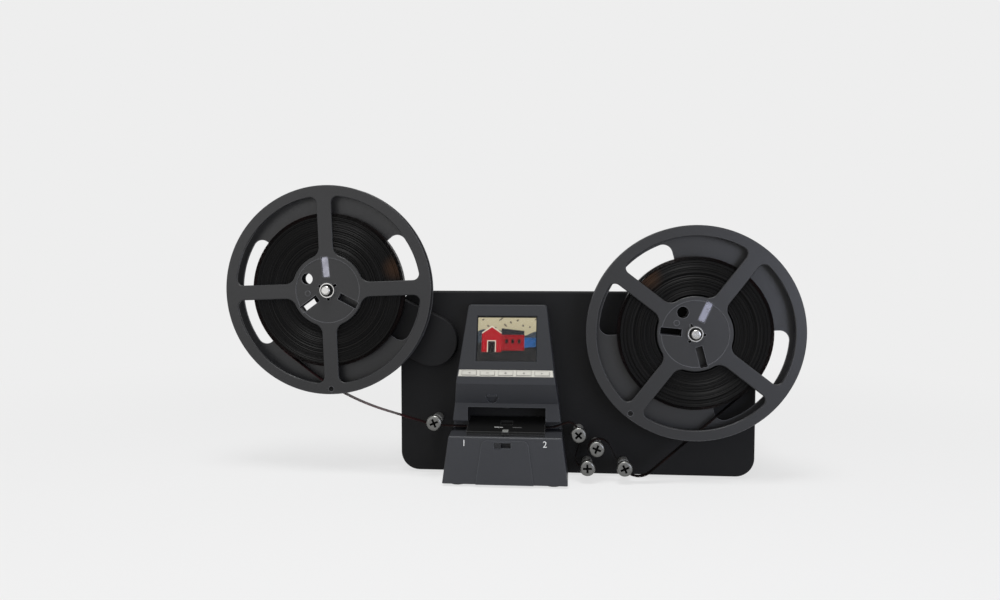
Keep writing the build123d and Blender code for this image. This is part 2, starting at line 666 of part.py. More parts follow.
def key_board_top():
    return -STRIP_THICK - SCREW_CLEAR - KEY_FLANGE_THICK - KEY_TRAVEL - SCREW_CLEAR - SWITCH_HEIGHT


def key(x):
    flange_top = -STRIP_THICK - SCREW_CLEAR
    flange_back = flange_top - KEY_FLANGE_THICK
    cap = slab(STRIP_PLANE, x, 0, KEY_WIDTH, KEY_HEIGHT, flange_back, KEY_PROUD)
    cap = fillet(cap.edges().filter_by(Axis.X).sort_by(Axis.Y)[:2], KEY_CLEAR)
    return cap + slab(STRIP_PLANE, x, 0, KEY_WIDTH + 2 * KEY_FLANGE, KEY_HEIGHT + 2 * KEY_FLANGE,
                      flange_back, flange_top)


def key_board():
    top = key_board_top()
    length = KEY_PITCH * (KEY_COUNT - 1) + KEY_WIDTH
    board = slab(STRIP_PLANE, 0, 0, length, KEY_BOARD_HEIGHT, top - BOARD_THICK, top)
    for x in key_places():
        board += slab(STRIP_PLANE, x, 0, KEY_HEIGHT, KEY_HEIGHT, top, top + SWITCH_HEIGHT)
    return board


def base_panel():
    """Raised middle panel on the base, with the slot of the format switch."""
    foot, head = -FRONT_LENGTH / 2, FRONT_LENGTH / 2 - PANEL_DROP
    face = outline([(-PANEL_FOOT_HALF, foot), (PANEL_FOOT_HALF, foot),
                    (PANEL_TOP_HALF, head), (-PANEL_TOP_HALF, head)])
    face = fillet(face.vertices().sort_by(Axis.Y)[-2:], PANEL_CORNER)
    face -= Pos(SLOT_OFFSET, FRONT_LENGTH / 2 - SLOT_DROP) * Rectangle(SLOT_LENGTH, SLOT_HEIGHT)
    panel = extrude(FRONT_PLANE * face, PANEL_THICK)
    # the foot is cut level with the base
    return panel - block(CONSOLE_X - SIDE_SPAN, CONSOLE_X + SIDE_SPAN, 0, 2 * BASE_REACH, -BASE_Z, BASE_Z)


def knob_x():
    return SLOT_OFFSET - (SLOT_LENGTH - KNOB_LENGTH) / 2 + KNOB_CLEAR


def format_switch_knob():
    y = FRONT_LENGTH / 2 - SLOT_DROP
    knob = slab(FRONT_PLANE, knob_x(), y, KNOB_LENGTH, SLOT_HEIGHT - 2 * KNOB_CLEAR, -CONSOLE_WALL, KNOB_PROUD)
    knob = fillet(knob.faces().sort_by(Axis.Y)[0].edges(), KNOB_CLEAR)
    stem = slab(FRONT_PLANE, knob_x(), y, STEM_LENGTH, STEM_LENGTH, -CONSOLE_WALL - STEM_DEPTH, -CONSOLE_WALL)
    return knob + stem


def format_switch_body():
    y = FRONT_LENGTH / 2 - SLOT_DROP
    body = slab(FRONT_PLANE, SLOT_OFFSET, y, SWITCH_BODY_LENGTH, SWITCH_BODY_HEIGHT,
                -CONSOLE_WALL - SWITCH_BODY_DEPTH, -CONSOLE_WALL)
    return body - slab(FRONT_PLANE, SLOT_OFFSET, y, SLOT_LENGTH, STEM_LENGTH + 2 * KNOB_CLEAR,
                       -CONSOLE_WALL - STEM_DEPTH - KNOB_CLEAR, -CONSOLE_WALL)


def gate_bed():
    """Bed with the film's channel, the ears of the hinge and a thin lip in front."""
    half = NICHE_HALF - BED_CLEAR
    left, right = CONSOLE_X - half, CONSOLE_X + half
    bed = block(left, right, CONSOLE_WALL, RAIL_REACH, LEDGE_Z, BED_TOP)
    bed += block(left, right, RAIL_REACH, BED_FRONT_REACH, LEDGE_Z, LEDGE_Z + BED_LIP_THICK)
    for ear_left in (left, right - EAR_LENGTH):
        ear = block(ear_left, ear_left + EAR_LENGTH, CONSOLE_WALL, HINGE_REACH + HINGE_RADIUS, BED_TOP, HINGE_Z)
        crown = Pos(HINGE_REACH, HINGE_Z) * Circle(HINGE_RADIUS)
        bed += ear + prism(crown, ear_left, ear_left + EAR_LENGTH)
    pin_hole = Pos(HINGE_REACH, HINGE_Z) * Circle(HINGE_PIN_RADIUS + RUN_CLEAR)
    bed -= prism(pin_hole, left, right)
    channel = FILM_WIDTH / 2 + CHANNEL_CLEAR
    bed -= block(left, right, FILM_REACH - channel, FILM_REACH + channel, CHANNEL_FLOOR, BED_TOP)
    half_length, half_depth = DIFFUSER_LENGTH / 2 + SCREW_CLEAR, DIFFUSER_DEPTH / 2 + SCREW_CLEAR
    bed -= block(CONSOLE_X - half_length, CONSOLE_X + half_length, PICTURE_REACH - half_depth,
                 PICTURE_REACH + half_depth, LEDGE_Z, BED_TOP)
    return bed - claw_slot(LEDGE_Z, BED_TOP)


def gate_hinge_pin():
    half = NICHE_HALF - 2 * BED_CLEAR
    return prism(Pos(HINGE_REACH, HINGE_Z) * Circle(HINGE_PIN_RADIUS), CONSOLE_X - half, CONSOLE_X + half)


def gate_cover():
    """Sloping lid over the film, hinged at the back, with the picture aperture and a lifting tab."""
    half = NICHE_HALF - 2 * BED_CLEAR
    left, right = CONSOLE_X - half, CONSOLE_X + half
    step = RAIL_REACH + FACE_GAP
    front_top = COVER_FRONT_BOTTOM + COVER_FRONT_THICK
    side = outline([(HINGE_REACH, COVER_BOTTOM), (step, COVER_BOTTOM), (step, COVER_FRONT_BOTTOM),
                    (BED_FRONT_REACH, COVER_FRONT_BOTTOM), (BED_FRONT_REACH, front_top),
                    (HINGE_REACH, COVER_BOTTOM + COVER_BACK_THICK)])
    cover = prism(side, left, right)
    front_edge = (CONSOLE_X, FASCIA_Y - BED_FRONT_REACH, front_top)
    cover = fillet(cover.edges().filter_by(Axis.X).sort_by_distance(front_edge)[:1], CONSOLE_EDGE)
    inset = EAR_LENGTH + EAR_GAP + BED_CLEAR
    notch_front = HINGE_REACH + HINGE_RADIUS + EAR_GAP
    for notch_left in (left - inset, right - inset + BED_CLEAR):
        cover -= block(notch_left, notch_left + 2 * inset - BED_CLEAR, 0, notch_front, LEDGE_Z, LIP_Z)
    barrel = Pos(HINGE_REACH, HINGE_Z) * Circle(HINGE_RADIUS)
    cover += prism(barrel, left + inset, right - inset)
    bore = Pos(HINGE_REACH, HINGE_Z) * Circle(HINGE_PIN_RADIUS + HINGE_CLEAR)
    cover -= prism(bore, left, right)
    cover -= block(CONSOLE_X - APERTURE_WIDTH / 2, CONSOLE_X + APERTURE_WIDTH / 2,
                   PICTURE_REACH - APERTURE_DEPTH / 2, PICTURE_REACH + APERTURE_DEPTH / 2, LEDGE_Z, LIP_Z)
    # the tab lies on the front of the sloping top and runs out past its edge
    fall = (COVER_BOTTOM + COVER_BACK_THICK - front_top) / (BED_FRONT_REACH - HINGE_REACH)
    tab_back, tab_front = BED_FRONT_REACH - LATCH_BACK, BED_FRONT_REACH + LATCH_FRONT
    tab_top = front_top + LATCH_PROUD
    tab = outline([(tab_back, COVER_FRONT_BOTTOM), (tab_front, COVER_FRONT_BOTTOM),
                   (tab_front, tab_top - fall * LATCH_FRONT), (tab_back, tab_top + fall * LATCH_BACK)])
    return cover + prism(tab, CONSOLE_X - LATCH_WIDTH / 2, CONSOLE_X + LATCH_WIDTH / 2)


def light_diffuser():
    half_length, half_depth = DIFFUSER_LENGTH / 2, DIFFUSER_DEPTH / 2
    return block(CONSOLE_X - half_length, CONSOLE_X + half_length, PICTURE_REACH - half_depth,
                 PICTURE_REACH + half_depth, LEDGE_Z, CHANNEL_FLOOR - SCREW_CLEAR)


def light_board():
    half_length, half_depth = LIGHT_BOARD_LENGTH / 2, LIGHT_BOARD_DEPTH / 2
    return block(CONSOLE_X - half_length, CONSOLE_X + half_length, PICTURE_REACH - half_depth,
                 PICTURE_REACH + half_depth, LEDGE_Z - BOARD_THICK, LEDGE_Z)


def upright(radius, z_from, z_to):
    """A round piece that stands over the picture aperture."""
    return Pos(CONSOLE_X, FASCIA_Y - PICTURE_REACH, (z_from + z_to) / 2) * Cylinder(radius, z_to - z_from)


def lens_seat():
    return LIP_Z + LENS_BOSS_HEIGHT


def lens_barrel():
    """Lens that rests on the console's boss, with a narrow nose through the roof of the gate."""
    barrel = upright(LENS_NOSE_RADIUS, LIP_Z - LENS_DROP, lens_seat())
    barrel += upright(LENS_RADIUS, lens_seat(), lens_seat() + LENS_LENGTH)
    return barrel - upright(LENS_GLASS_RADIUS, LIP_Z - LENS_DROP, LIP_Z)


def camera_board():
    half = CAMERA_BOARD / 2
    low = lens_seat() + LENS_LENGTH
    return block(CONSOLE_X - half, CONSOLE_X + half, PICTURE_REACH - half, PICTURE_REACH + half,
                 low, low + BOARD_THICK)


def claw_lever():
    """Claw that draws the film on by one picture: an upright arm with a window for the cam pin."""
    tip_z = CHANNEL_FLOOR - CLAW_TIP_DROP + FILM_CLEAR
    pivot_z = CLAW_PIVOT[1]
    arm = Pos(CLAW_X, (pivot_z + LEDGE_Z - 2 * CONSOLE_WALL) / 2) * Rectangle(
        CLAW_WIDTH, LEDGE_Z - 2 * CONSOLE_WALL - pivot_z)
    arm += Pos(*CLAW_PIVOT) * Circle(CLAW_WIDTH / 2)
    arm += Pos(CLAW_X, (pivot_z + tip_z) / 2) * Rectangle(CLAW_TIP_WIDTH, tip_z - pivot_z)
    arm += Pos(*CAM) * Rectangle(YOKE_WIDTH + 2 * YOKE_WALL, YOKE_HEIGHT + 2 * YOKE_WALL)
    arm -= Pos(*CAM) * Rectangle(YOKE_WIDTH, YOKE_HEIGHT)
    arm -= Pos(*CLAW_PIVOT) * Circle(CLAW_AXLE_RADIUS + RUN_CLEAR)
    return plate(arm, CLAW_REACH - CLAW_THICK / 2, CLAW_REACH + CLAW_THICK / 2)


def cam_front():
    return CLAW_REACH - CLAW_THICK / 2 - FACE_GAP


def claw_cam():
    cam = disc(CAM, CAM_RADIUS, cam_front() - CAM_THICK, cam_front())
    cam += disc((CAM[0], CAM[1] + CAM_THROW), CAM_PIN_RADIUS, cam_front(), CLAW_REACH + CLAW_THICK)
    return cam - disc(CAM, MOTOR_SHAFT_RADIUS + RUN_CLEAR / 2, cam_front() - CAM_THICK, cam_front() - FACE_GAP)


def claw_motor():
    front = cam_front() - CAM_THICK - FACE_GAP
    motor = disc(CAM, CLAW_MOTOR_RADIUS, front - CLAW_MOTOR_LENGTH, front)
    motor = chamfer(motor.edges(), CONSOLE_EDGE)
    return motor + disc(CAM, MOTOR_SHAFT_RADIUS, front, cam_front() - 2 * FACE_GAP)


def housing_screw_spots():
    left, right = BODY_LEFT + HOUSING_INSET + POST_INSET, BODY_LEFT + BODY_WIDTH - HOUSING_INSET - POST_INSET
    low, high = FOOT_STAND + HOUSING_INSET + POST_INSET, FOOT_STAND + BODY_HEIGHT - HOUSING_INSET - POST_INSET
    return [(x, z) for x in (left, BODY_X, right) for z in (low, high)]


def main_board_spots():
    across, up = MAIN_BOARD_WIDTH / 2 - MAIN_BOARD_INSET, MAIN_BOARD_HEIGHT / 2 - MAIN_BOARD_INSET
    return [(MAIN_BOARD_X + i * across, MAIN_BOARD_Z + k * up) for i in (-1, 1) for k in (-1, 1)]


def roller_spots():
    first = from_gate(ROLLER_1_OFFSET, ROLLER_PATH)
    return [first] + [from_gate(*place) for place in ROLLER_OFFSETS]


def front_fascia():
    panel = plate(Pos(BODY_X, BODY_Z) * RectangleRounded(BODY_WIDTH, BODY_HEIGHT, FASCIA_CORNER), -FASCIA_THICK, 0)
    panel = fillet(panel.faces().sort_by(Axis.Y)[0].edges(), FASCIA_EDGE)
    back = -FASCIA_THICK
    for spot in housing_screw_spots():
        panel += disc(spot, POST_RADIUS, back - BOSS_HEIGHT, back)
        panel -= disc(spot, SCREW_RADIUS + SCREW_CLEAR / 2, back - BOSS_HEIGHT, back - FACE_GAP)
    panel -= block(CONSOLE_X - WINDOW_HALF, CONSOLE_X + WINDOW_HALF, back, 0, BASE_Z + WINDOW_MARGIN, BEZEL_Z)
    for spot in console_posts():
        panel -= disc(spot, SCREW_RADIUS + SCREW_CLEAR, back, 0)
    for spot in roller_spots():
        panel -= disc(spot, ROLLER_SCREW_RADIUS + RUN_CLEAR, back, 0)
    panel -= disc(ARM_PIVOT, BOLT_RADIUS + RUN_CLEAR, back, 0)
    return panel - disc(TAKEUP, SPINDLE_JOURNAL + RUN_CLEAR + BUSH_WALL, back, 0)


def back_cutout(x, z, width, height):
    half, tall = width / 2 + SOCKET_CLEAR, height / 2 + SOCKET_CLEAR
    return block(x - half, x + half, HOUSING_BACK, HOUSING_FLOOR, z - tall, z + tall)


def rear_housing():
    width, height = BODY_WIDTH - 2 * HOUSING_INSET, BODY_HEIGHT - 2 * HOUSING_INSET
    middle = Pos(BODY_X, BODY_Z)
    case = plate(middle * RectangleRounded(width, height, HOUSING_CORNER), HOUSING_BACK, -FASCIA_THICK)
    case = fillet(case.faces().sort_by(Axis.Y)[-1].edges(), HOUSING_EDGE)
    inner = RectangleRounded(width - 2 * HOUSING_WALL, height - 2 * HOUSING_WALL, HOUSING_CORNER - HOUSING_WALL)
    case -= plate(middle * inner, HOUSING_FLOOR, -FASCIA_THICK)
    boss_end = -FASCIA_THICK - BOSS_HEIGHT
    web = SCREW_LENGTH - SCREW_GRIP
    for spot in housing_screw_spots():
        case += disc(spot, POST_RADIUS, HOUSING_FLOOR, boss_end)
        case -= disc(spot, SCREW_RADIUS + SCREW_CLEAR, HOUSING_BACK, boss_end)
        case -= disc(spot, SCREW_HEAD_RADIUS + 2 * SCREW_CLEAR, HOUSING_BACK, boss_end - web)
    for spot in main_board_spots():
        case += disc(spot, CONSOLE_POST_RADIUS, HOUSING_FLOOR, MAIN_BOARD_BACK)
        case -= disc(spot, SCREW_RADIUS + SCREW_CLEAR / 2, MAIN_BOARD_BACK - SCREW_LENGTH, MAIN_BOARD_BACK)
    vent = SlotOverall(VENT_LENGTH, VENT_WIDTH, rotation=90)
    for number in range(VENT_COUNT):
        x = BODY_X + VENT_PITCH * (number - (VENT_COUNT - 1) / 2)
        case -= plate(Pos(x, BODY_Z) * vent, HOUSING_BACK, HOUSING_FLOOR)
    case -= back_cutout(JACK_X, SOCKET_Z, JACK_WIDTH, JACK_HEIGHT)
    case -= back_cutout(USB_X, SOCKET_Z, USB_WIDTH, USB_HEIGHT)
    case -= back_cutout(CARD_X, SOCKET_Z, CARD_WIDTH, CARD_HEIGHT)
    return case - disc((BUTTON_X, BUTTON_Z), BUTTON_RADIUS + KEY_CLEAR, HOUSING_BACK, HOUSING_FLOOR)


def case_screw(spot, seat, way):
    """Pan-head screw: its head sits against a reach, its shank runs on forwards (1) or back (-1)."""
    head = sorted([seat, seat - way * SCREW_HEAD_THICK])
    shank = sorted([seat, seat + way * SCREW_LENGTH])
    return disc(spot, SCREW_HEAD_RADIUS, *head) + disc(spot, SCREW_RADIUS, *shank)


def case_screws():
    screws = []
    housing_seat = -FASCIA_THICK - BOSS_HEIGHT - (SCREW_LENGTH - SCREW_GRIP)
    for spot in housing_screw_spots():
        screws.append(case_screw(spot, housing_seat, 1))
    for spot in console_posts():
        screws.append(case_screw(spot, -FASCIA_THICK, 1))
    for spot in main_board_spots():
        screws.append(case_screw(spot, MAIN_BOARD_BACK + BOARD_THICK, -1))
    return Compound(screws)


def rubber_feet():
    rear_floor = FOOT_STAND + HOUSING_INSET
    left, right = BODY_LEFT + HOUSING_INSET + FOOT_INSET, BODY_LEFT + BODY_WIDTH - HOUSING_INSET - FOOT_INSET
    front, back = -FASCIA_THICK - FOOT_INSET, HOUSING_BACK + FOOT_INSET
    places = [(x, reach, rear_floor) for x in (left, right) for reach in (front, back)]
    for side in (-1, 1):
        places.append((CONSOLE_X + side * (CONSOLE_FOOT_HALF - FRONT_FOOT_INSET), FRONT_FOOT_REACH, BASE_Z))
    feet = []
    for x, reach, height in places:
        foot = Pos(x, FASCIA_Y - reach, height / 2) * Cylinder(FOOT_RADIUS, height)
        feet.append(fillet(foot.edges().sort_by(Axis.Z)[:1], CONSOLE_EDGE))
    return Compound(feet)


def main_board():
    front = MAIN_BOARD_BACK + BOARD_THICK
    face = Pos(MAIN_BOARD_X, MAIN_BOARD_Z) * Rectangle(MAIN_BOARD_WIDTH, MAIN_BOARD_HEIGHT)
    for spot in main_board_spots():
        face -= Pos(*spot) * Circle(SCREW_RADIUS + SCREW_CLEAR)
    board = plate(face, MAIN_BOARD_BACK, front)
    for x, z, size in ((-1.6, 0.6, 1.0), (0.4, 0.4, 1.5), (2.0, -0.9, 0.8), (-0.6, -1.2, 0.9)):
        place = Pos(MAIN_BOARD_X + x * CHIP_SIZE, MAIN_BOARD_Z + z * CHIP_SIZE)
        board += plate(place * Rectangle(size * CHIP_SIZE, size * CHIP_SIZE), front, front + CHIP_THICK)
    return board


def dc_jack():
    spot = (JACK_X, SOCKET_Z)
    front = HOUSING_BACK + JACK_DEPTH
    jack = plate(Pos(*spot) * Rectangle(JACK_WIDTH, JACK_HEIGHT), HOUSING_BACK, front)
    jack -= disc(spot, JACK_BORE, HOUSING_BACK, front - HOUSING_WALL)
    return jack + disc(spot, JACK_PIN, HOUSING_BACK + HOUSING_WALL, front)


def usb_socket():
    place = Pos(USB_X, SOCKET_Z)
    front = HOUSING_BACK + USB_DEPTH
    socket = plate(place * Rectangle(USB_WIDTH, USB_HEIGHT), HOUSING_BACK, front)
    inner = Rectangle(USB_WIDTH - 2 * USB_WALL, USB_HEIGHT - 2 * USB_WALL)
    socket -= plate(place * inner, HOUSING_BACK, front - USB_WALL)
    tongue = Rectangle(USB_WIDTH - 4 * USB_WALL, USB_WALL)
    return socket + plate(place * tongue, HOUSING_BACK + USB_WALL, front)


def card_slot():
    place = Pos(CARD_X, SOCKET_Z)
    front = HOUSING_BACK + CARD_DEPTH
    holder = plate(place * Rectangle(CARD_WIDTH, CARD_HEIGHT), HOUSING_BACK, front)
    return holder - plate(place * Rectangle(CARD_SLOT_WIDTH, CARD_SLOT_HEIGHT), HOUSING_BACK, front - USB_WALL)


def button_rest():
    """Reach of the inner end of the power button when it isn't pressed."""
    return HOUSING_FLOOR + SCREW_CLEAR + HOUSING_WALL


def power_button():
    spot = (BUTTON_X, BUTTON_Z)
    button = disc(spot, BUTTON_RADIUS, HOUSING_BACK - BUTTON_PROUD, button_rest())
    button = fillet(button.faces().sort_by(Axis.Y)[-1].edges(), CONSOLE_EDGE)
    return button + disc(spot, BUTTON_RADIUS + BUTTON_FLANGE, HOUSING_FLOOR + SCREW_CLEAR, button_rest())


def power_switch():
    """Switch behind the power button, on two legs that stand on the housing's back wall."""
    back = button_rest() + BUTTON_TRAVEL + SCREW_CLEAR
    reach = BUTTON_RADIUS + BUTTON_FLANGE + 2 * KEY_CLEAR
    width = 2 * (reach + HOUSING_WALL)
    place = Pos(BUTTON_X, BUTTON_Z)
    switch = plate(place * Rectangle(width, JACK_HEIGHT), back, back + BUTTON_SWITCH_DEPTH)
    for side in (-1, 1):
        leg = Pos(BUTTON_X + side * (reach + HOUSING_WALL / 2), BUTTON_Z) * Rectangle(HOUSING_WALL, JACK_HEIGHT)
        switch += plate(leg, HOUSING_FLOOR, back)
    return switch


def turned(spot, turn, sketch):
    return Pos(*spot) * Rot(0, 0, turn) * sketch


def spoke_window():
    """Opening between two spokes: a quarter of the annulus, with flared corners."""
    corner = SPOKE_WIDTH / 2 + REEL_RADIUS / 2
    quarter = Pos(corner, corner) * Rectangle(REEL_RADIUS, REEL_RADIUS)
    window = (Circle(RIM_INNER) - Circle(HUB_RADIUS)) & quarter
    window = fillet(window.vertices().sort_by_distance((0, 0))[:2], HUB_FLARE)
    return fillet(window.vertices().sort_by_distance((0, 0))[-2:], RIM_FLARE)


def back_window():
    """Curved opening in the back flange, with rounded corners."""
    half = BACK_WINDOW_DEG / 2
    outer = CenterArc((0, 0), BACK_WINDOW_OUTER, -half, BACK_WINDOW_DEG)
    inner = CenterArc((0, 0), BACK_WINDOW_INNER, -half, BACK_WINDOW_DEG)
    face = make_face([outer, inner, Line(outer @ 0, inner @ 0), Line(outer @ 1, inner @ 1)])
    return fillet(face.vertices(), BACK_WINDOW_CORNER)


def hub_slot(degrees_round):
    middle = (HUB_SLOT_INNER + HUB_SLOT_OUTER) / 2
    shape = Pos(middle, 0) * Rectangle(HUB_SLOT_OUTER - HUB_SLOT_INNER, HUB_SLOT_WIDTH)
    return Rot(0, 0, degrees_round) * shape


def hub_openings(through_slot, port):
    """Holes through both halves of the hub: bore with keyways, one slot and one round port."""
    holes = Circle(REEL_BORE) + hub_slot(through_slot)
    holes += Rot(0, 0, port) * Pos(HUB_PORT_OUT, 0) * Circle(HUB_PORT_RADIUS)
    for third in range(3):
        keyway = Pos(REEL_BORE, 0) * Rectangle(2 * KEYWAY_DEPTH, KEYWAY_WIDTH)
        holes += Rot(0, 0, KEYWAY_DEG + 120 * third) * keyway
    return holes


def reel_back(spot, turn, window_turn, hub):
    """Back half of a reel: flange with two curved windows, film core and bore tube."""
    flange = Circle(REEL_RADIUS) - hub_openings(hub[1], hub[3])
    for half_turn in (0, 180):
        flange -= Rot(0, 0, window_turn - turn + half_turn) * back_window()
    half = plate(turned(spot, turn, flange), REEL_BACK, REEL_INNER_BACK)
    half = fillet(half.edges().filter_by(GeomType.CIRCLE).group_by(SortBy.LENGTH)[-1], RIM_EDGE)
    half += ring(spot, HUB_RADIUS, HUB_RADIUS - CORE_WALL, REEL_INNER_BACK, REEL_INNER_FRONT)
    tube = REEL_BORE + KEYWAY_DEPTH
    return half + ring(spot, tube + TUBE_WALL, tube, REEL_INNER_BACK, REEL_INNER_FRONT)


def reel_front(spot, turn, hub):
    """Front half of a reel: rim, four spokes and a dished hub with its slots."""
    open_slot, through_slot, front_slot, port = hub
    flange = Circle(REEL_RADIUS) - hub_openings(through_slot, port) - hub_slot(open_slot) - hub_slot(front_slot)
    for quarter in range(4):
        flange -= Rot(0, 0, 90 * quarter) * spoke_window()
    flange -= Rot(0, 0, RIM_HOLE_DEG) * Pos((REEL_RADIUS + RIM_INNER) / 2, 0) * Circle(RIM_HOLE_RADIUS)
    half = plate(turned(spot, turn, flange), REEL_INNER_FRONT, REEL_FRONT)
    windows = half.faces().sort_by(Axis.Y)[0].inner_wires().sort_by(SortBy.LENGTH)[-4:]
    half = fillet([edge for window in windows for edge in window.edges()], WINDOW_EDGE)
    half = fillet(half.edges().filter_by(GeomType.CIRCLE).group_by(SortBy.LENGTH)[-1], RIM_EDGE)
    half -= disc(spot, DISH_RADIUS, REEL_FRONT - DISH_DEPTH, REEL_FRONT)
    boss = Rot(0, 0, HUB_BOSS_DEG) * Pos(HUB_BOSS_OUT, 0) * Circle(HUB_BOSS_RADIUS)
    return half + plate(turned(spot, turn, boss), REEL_INNER_FRONT, REEL_FRONT)


def reel_clip(spot, turn, hub):
    """Bright spring strip behind the open slot of the hub."""
    inner = REEL_BORE + KEYWAY_DEPTH + TUBE_WALL + KEY_CLEAR
    outer = HUB_RADIUS - CORE_WALL - 2 * KEY_CLEAR
    shape = Pos((inner + outer) / 2, 0) * Rectangle(outer - inner, CLIP_WIDTH)
    return plate(turned(spot, turn + hub[0], shape), REEL_INNER_FRONT - CLIP_THICK, REEL_INNER_FRONT)


def wound_turns(core):
    """Half-turn arcs of the loose outer turns; every other half turn has its centre half a pitch aside."""
    arcs = []
    for half_turn in range(2 * LOOSE_TURNS):
        odd = half_turn % 2
        arcs.append(CenterArc((odd * TURN_PITCH / 2, 0), core + half_turn * TURN_PITCH / 2, 180 * odd, 180))
    return arcs


def least_gap(arcs):
    """Smallest gap between one loose turn and the next, measured on points."""
    steps = 24
    points = [arc @ (step / steps) for arc in arcs for step in range(steps)]
    turn = 2 * steps
    return min((points[i] - points[i + turn]).length for i in range(len(points) - turn)) - FILM_THICK


def film_pack(spot, turn, radius):
    """Film wound on a reel: a plain core, with its outer layer as loose turns of one unbroken band."""
    core = radius - LOOSE_TURNS * TURN_PITCH
    arcs = wound_turns(core)
    print("film pack", radius, "least gap between turns", round(least_gap(arcs), 3))
    face = Circle(core) - Circle(HUB_RADIUS + PACK_CLEAR)
    face += trace(Curve() + arcs, FILM_THICK)
    return plate(turned(spot, turn, face), FILM_BACK, FILM_FRONT)


def sag_stop():
    """Circle of the sag: it lies so that the straight runs to the supply reel and the first roller keep
    their lengths."""
    x, z = roller_spots()[0]
    dx, dz = x - SUPPLY[0], z - SUPPLY[1]
    span = hypot(dx, dz)
    from_reel = hypot(SAG_RADIUS - SUPPLY_PACK_RADIUS - FACE_GAP, SAG_LEAD)
    from_roller = hypot(SAG_RADIUS - ROLLER_PATH, SAG_TAIL)
    along = (span ** 2 + from_reel ** 2 - from_roller ** 2) / (2 * span)
    aside = sqrt(from_reel ** 2 - along ** 2)
    return (SUPPLY[0] + (along * dx - aside * dz) / span, SUPPLY[1] + (along * dz + aside * dx) / span, SAG_RADIUS, 1)


def film_stops():
    """Circles that the film goes round in turn, as (x, z, radius, way); way 1 turns to the left."""
    rollers = roller_spots()

    def slack(loop, way):
        return (*from_gate(loop[0], loop[1]), loop[2], way)

    def round_roller(number, way):
        return (*rollers[number - 1], ROLLER_PATH, way)

    return [
        (*SUPPLY, SUPPLY_PACK_RADIUS + FACE_GAP, 1), sag_stop(), round_roller(1, 1),
        slack(GATE_EXIT, 1), slack(CREST_LOOP, -1), round_roller(2, -1), slack(CHEEK_LOOP, 1),
        round_roller(4, 1), slack(LONG_LOOP, -1), round_roller(5, 1), slack(LAST_DIP, 1),
        (*TAKEUP, TAKEUP_PACK_RADIUS + FACE_GAP, 1),
    ]


def film_path():
    """Straight runs that touch both circles at their ends, joined by arcs of those circles."""
    stops = film_stops()
    runs = []
    for (x, z, radius, way), (next_x, next_z, next_radius, next_way) in zip(stops, stops[1:]):
        lean = asin((next_way * next_radius - way * radius) / hypot(next_x - x, next_z - z))
        heading = atan2(next_z - z, next_x - x) - lean
        side = (sin(heading), -cos(heading))
        start = (x + way * radius * side[0], z + way * radius * side[1])
        end = (next_x + next_way * next_radius * side[0], next_z + next_way * next_radius * side[1])
        runs.append((start, end, degrees(heading)))
    path = []
    for number, (start, end, heading) in enumerate(runs):
        path.append(Line(start, end))
        if number + 1 < len(runs):
            x, z, radius, way = stops[number + 1]
            bend = (way * (runs[number + 1][2] - heading)) % 360
            path.append(CenterArc((x, z), radius, heading - 90 * way, way * bend))
    return path


def film_run(path):
    """The 8 mm band along a stretch of the path, standing on edge."""
    band = plate(trace(Curve() + path, FILM_THICK), FILM_BACK, FILM_FRONT)
    length = sum(stretch.length for stretch in path)
    print("film run length", round(length, 1), "volume share",
          round(band.volume / (length * FILM_THICK * FILM_WIDTH), 4))
    return band


def spindle_front(spot, seat):
    """Flange, reel sleeve and rounded tip of a spindle, in front of its seat."""
    spindle = disc(spot, SPINDLE_FLANGE, seat, REEL_BACK)
    spindle += disc(spot, SLEEVE_RADIUS, REEL_BACK, REEL_FRONT + SPINDLE_PAST_REEL)
    tip_from = REEL_FRONT + SPINDLE_PAST_REEL
    tip = disc(spot, SPINDLE_TIP_RADIUS, tip_from, tip_from + SPINDLE_TIP_LENGTH)
    return spindle + fillet(tip.faces().sort_by(Axis.Y)[0].edges(), SPINDLE_TIP_EDGE)


def supply_spindle():
    seat = ARM_FRONT + FACE_GAP
    return spindle_front(SUPPLY, seat) + disc(SUPPLY, SPINDLE_JOURNAL, ARM_BACK + ARM_SKIN, seat)


def tapered_link(spot, radius, end, end_radius):
    """Outline round two circles and the lines that touch both."""
    dx, dz = end[0] - spot[0], end[1] - spot[1]
    lean = asin((radius - end_radius) / hypot(dx, dz))
    shape = Pos(*spot) * Circle(radius) + Pos(*end) * Circle(end_radius)
    corners = []
    for way in (1, -1):
        angle = atan2(dz, dx) + way * (pi / 2 - lean)
        touch = [(x + r * cos(angle), z + r * sin(angle)) for (x, z), r in ((spot, radius), (end, end_radius))]
        corners += touch if way == 1 else touch[::-1]
    return shape + outline(corners)


def supply_arm():
    arm = plate(tapered_link(ARM_PIVOT, ARM_PIVOT_RADIUS, SUPPLY, ARM_END_RADIUS), ARM_BACK, ARM_FRONT)
    arm = fillet(arm.faces().sort_by(Axis.Y)[0].edges(), ARM_EDGE)
    arm -= disc(ARM_PIVOT, BOLT_RADIUS + RUN_CLEAR / 2, ARM_BACK, ARM_FRONT - ARM_SKIN)
    return arm - disc(SUPPLY, SPINDLE_JOURNAL + RUN_CLEAR, ARM_BACK + ARM_SKIN - FACE_GAP, ARM_FRONT)


def arm_pivot_bolt():
    head_front = -FASCIA_THICK - FACE_GAP
    bolt = disc(ARM_PIVOT, BOLT_HEAD_RADIUS, head_front - BOLT_HEAD_THICK, head_front)
    bolt = chamfer(bolt.faces().sort_by(Axis.Y)[-1].edges(), CONSOLE_EDGE)
    return bolt + disc(ARM_PIVOT, BOLT_RADIUS, head_front, ARM_FRONT - ARM_SKIN - FACE_GAP)


def arm_friction_washer():
    return ring(ARM_PIVOT, WASHER_RADIUS, BOLT_RADIUS + RUN_CLEAR, 0, WASHER_THICK)


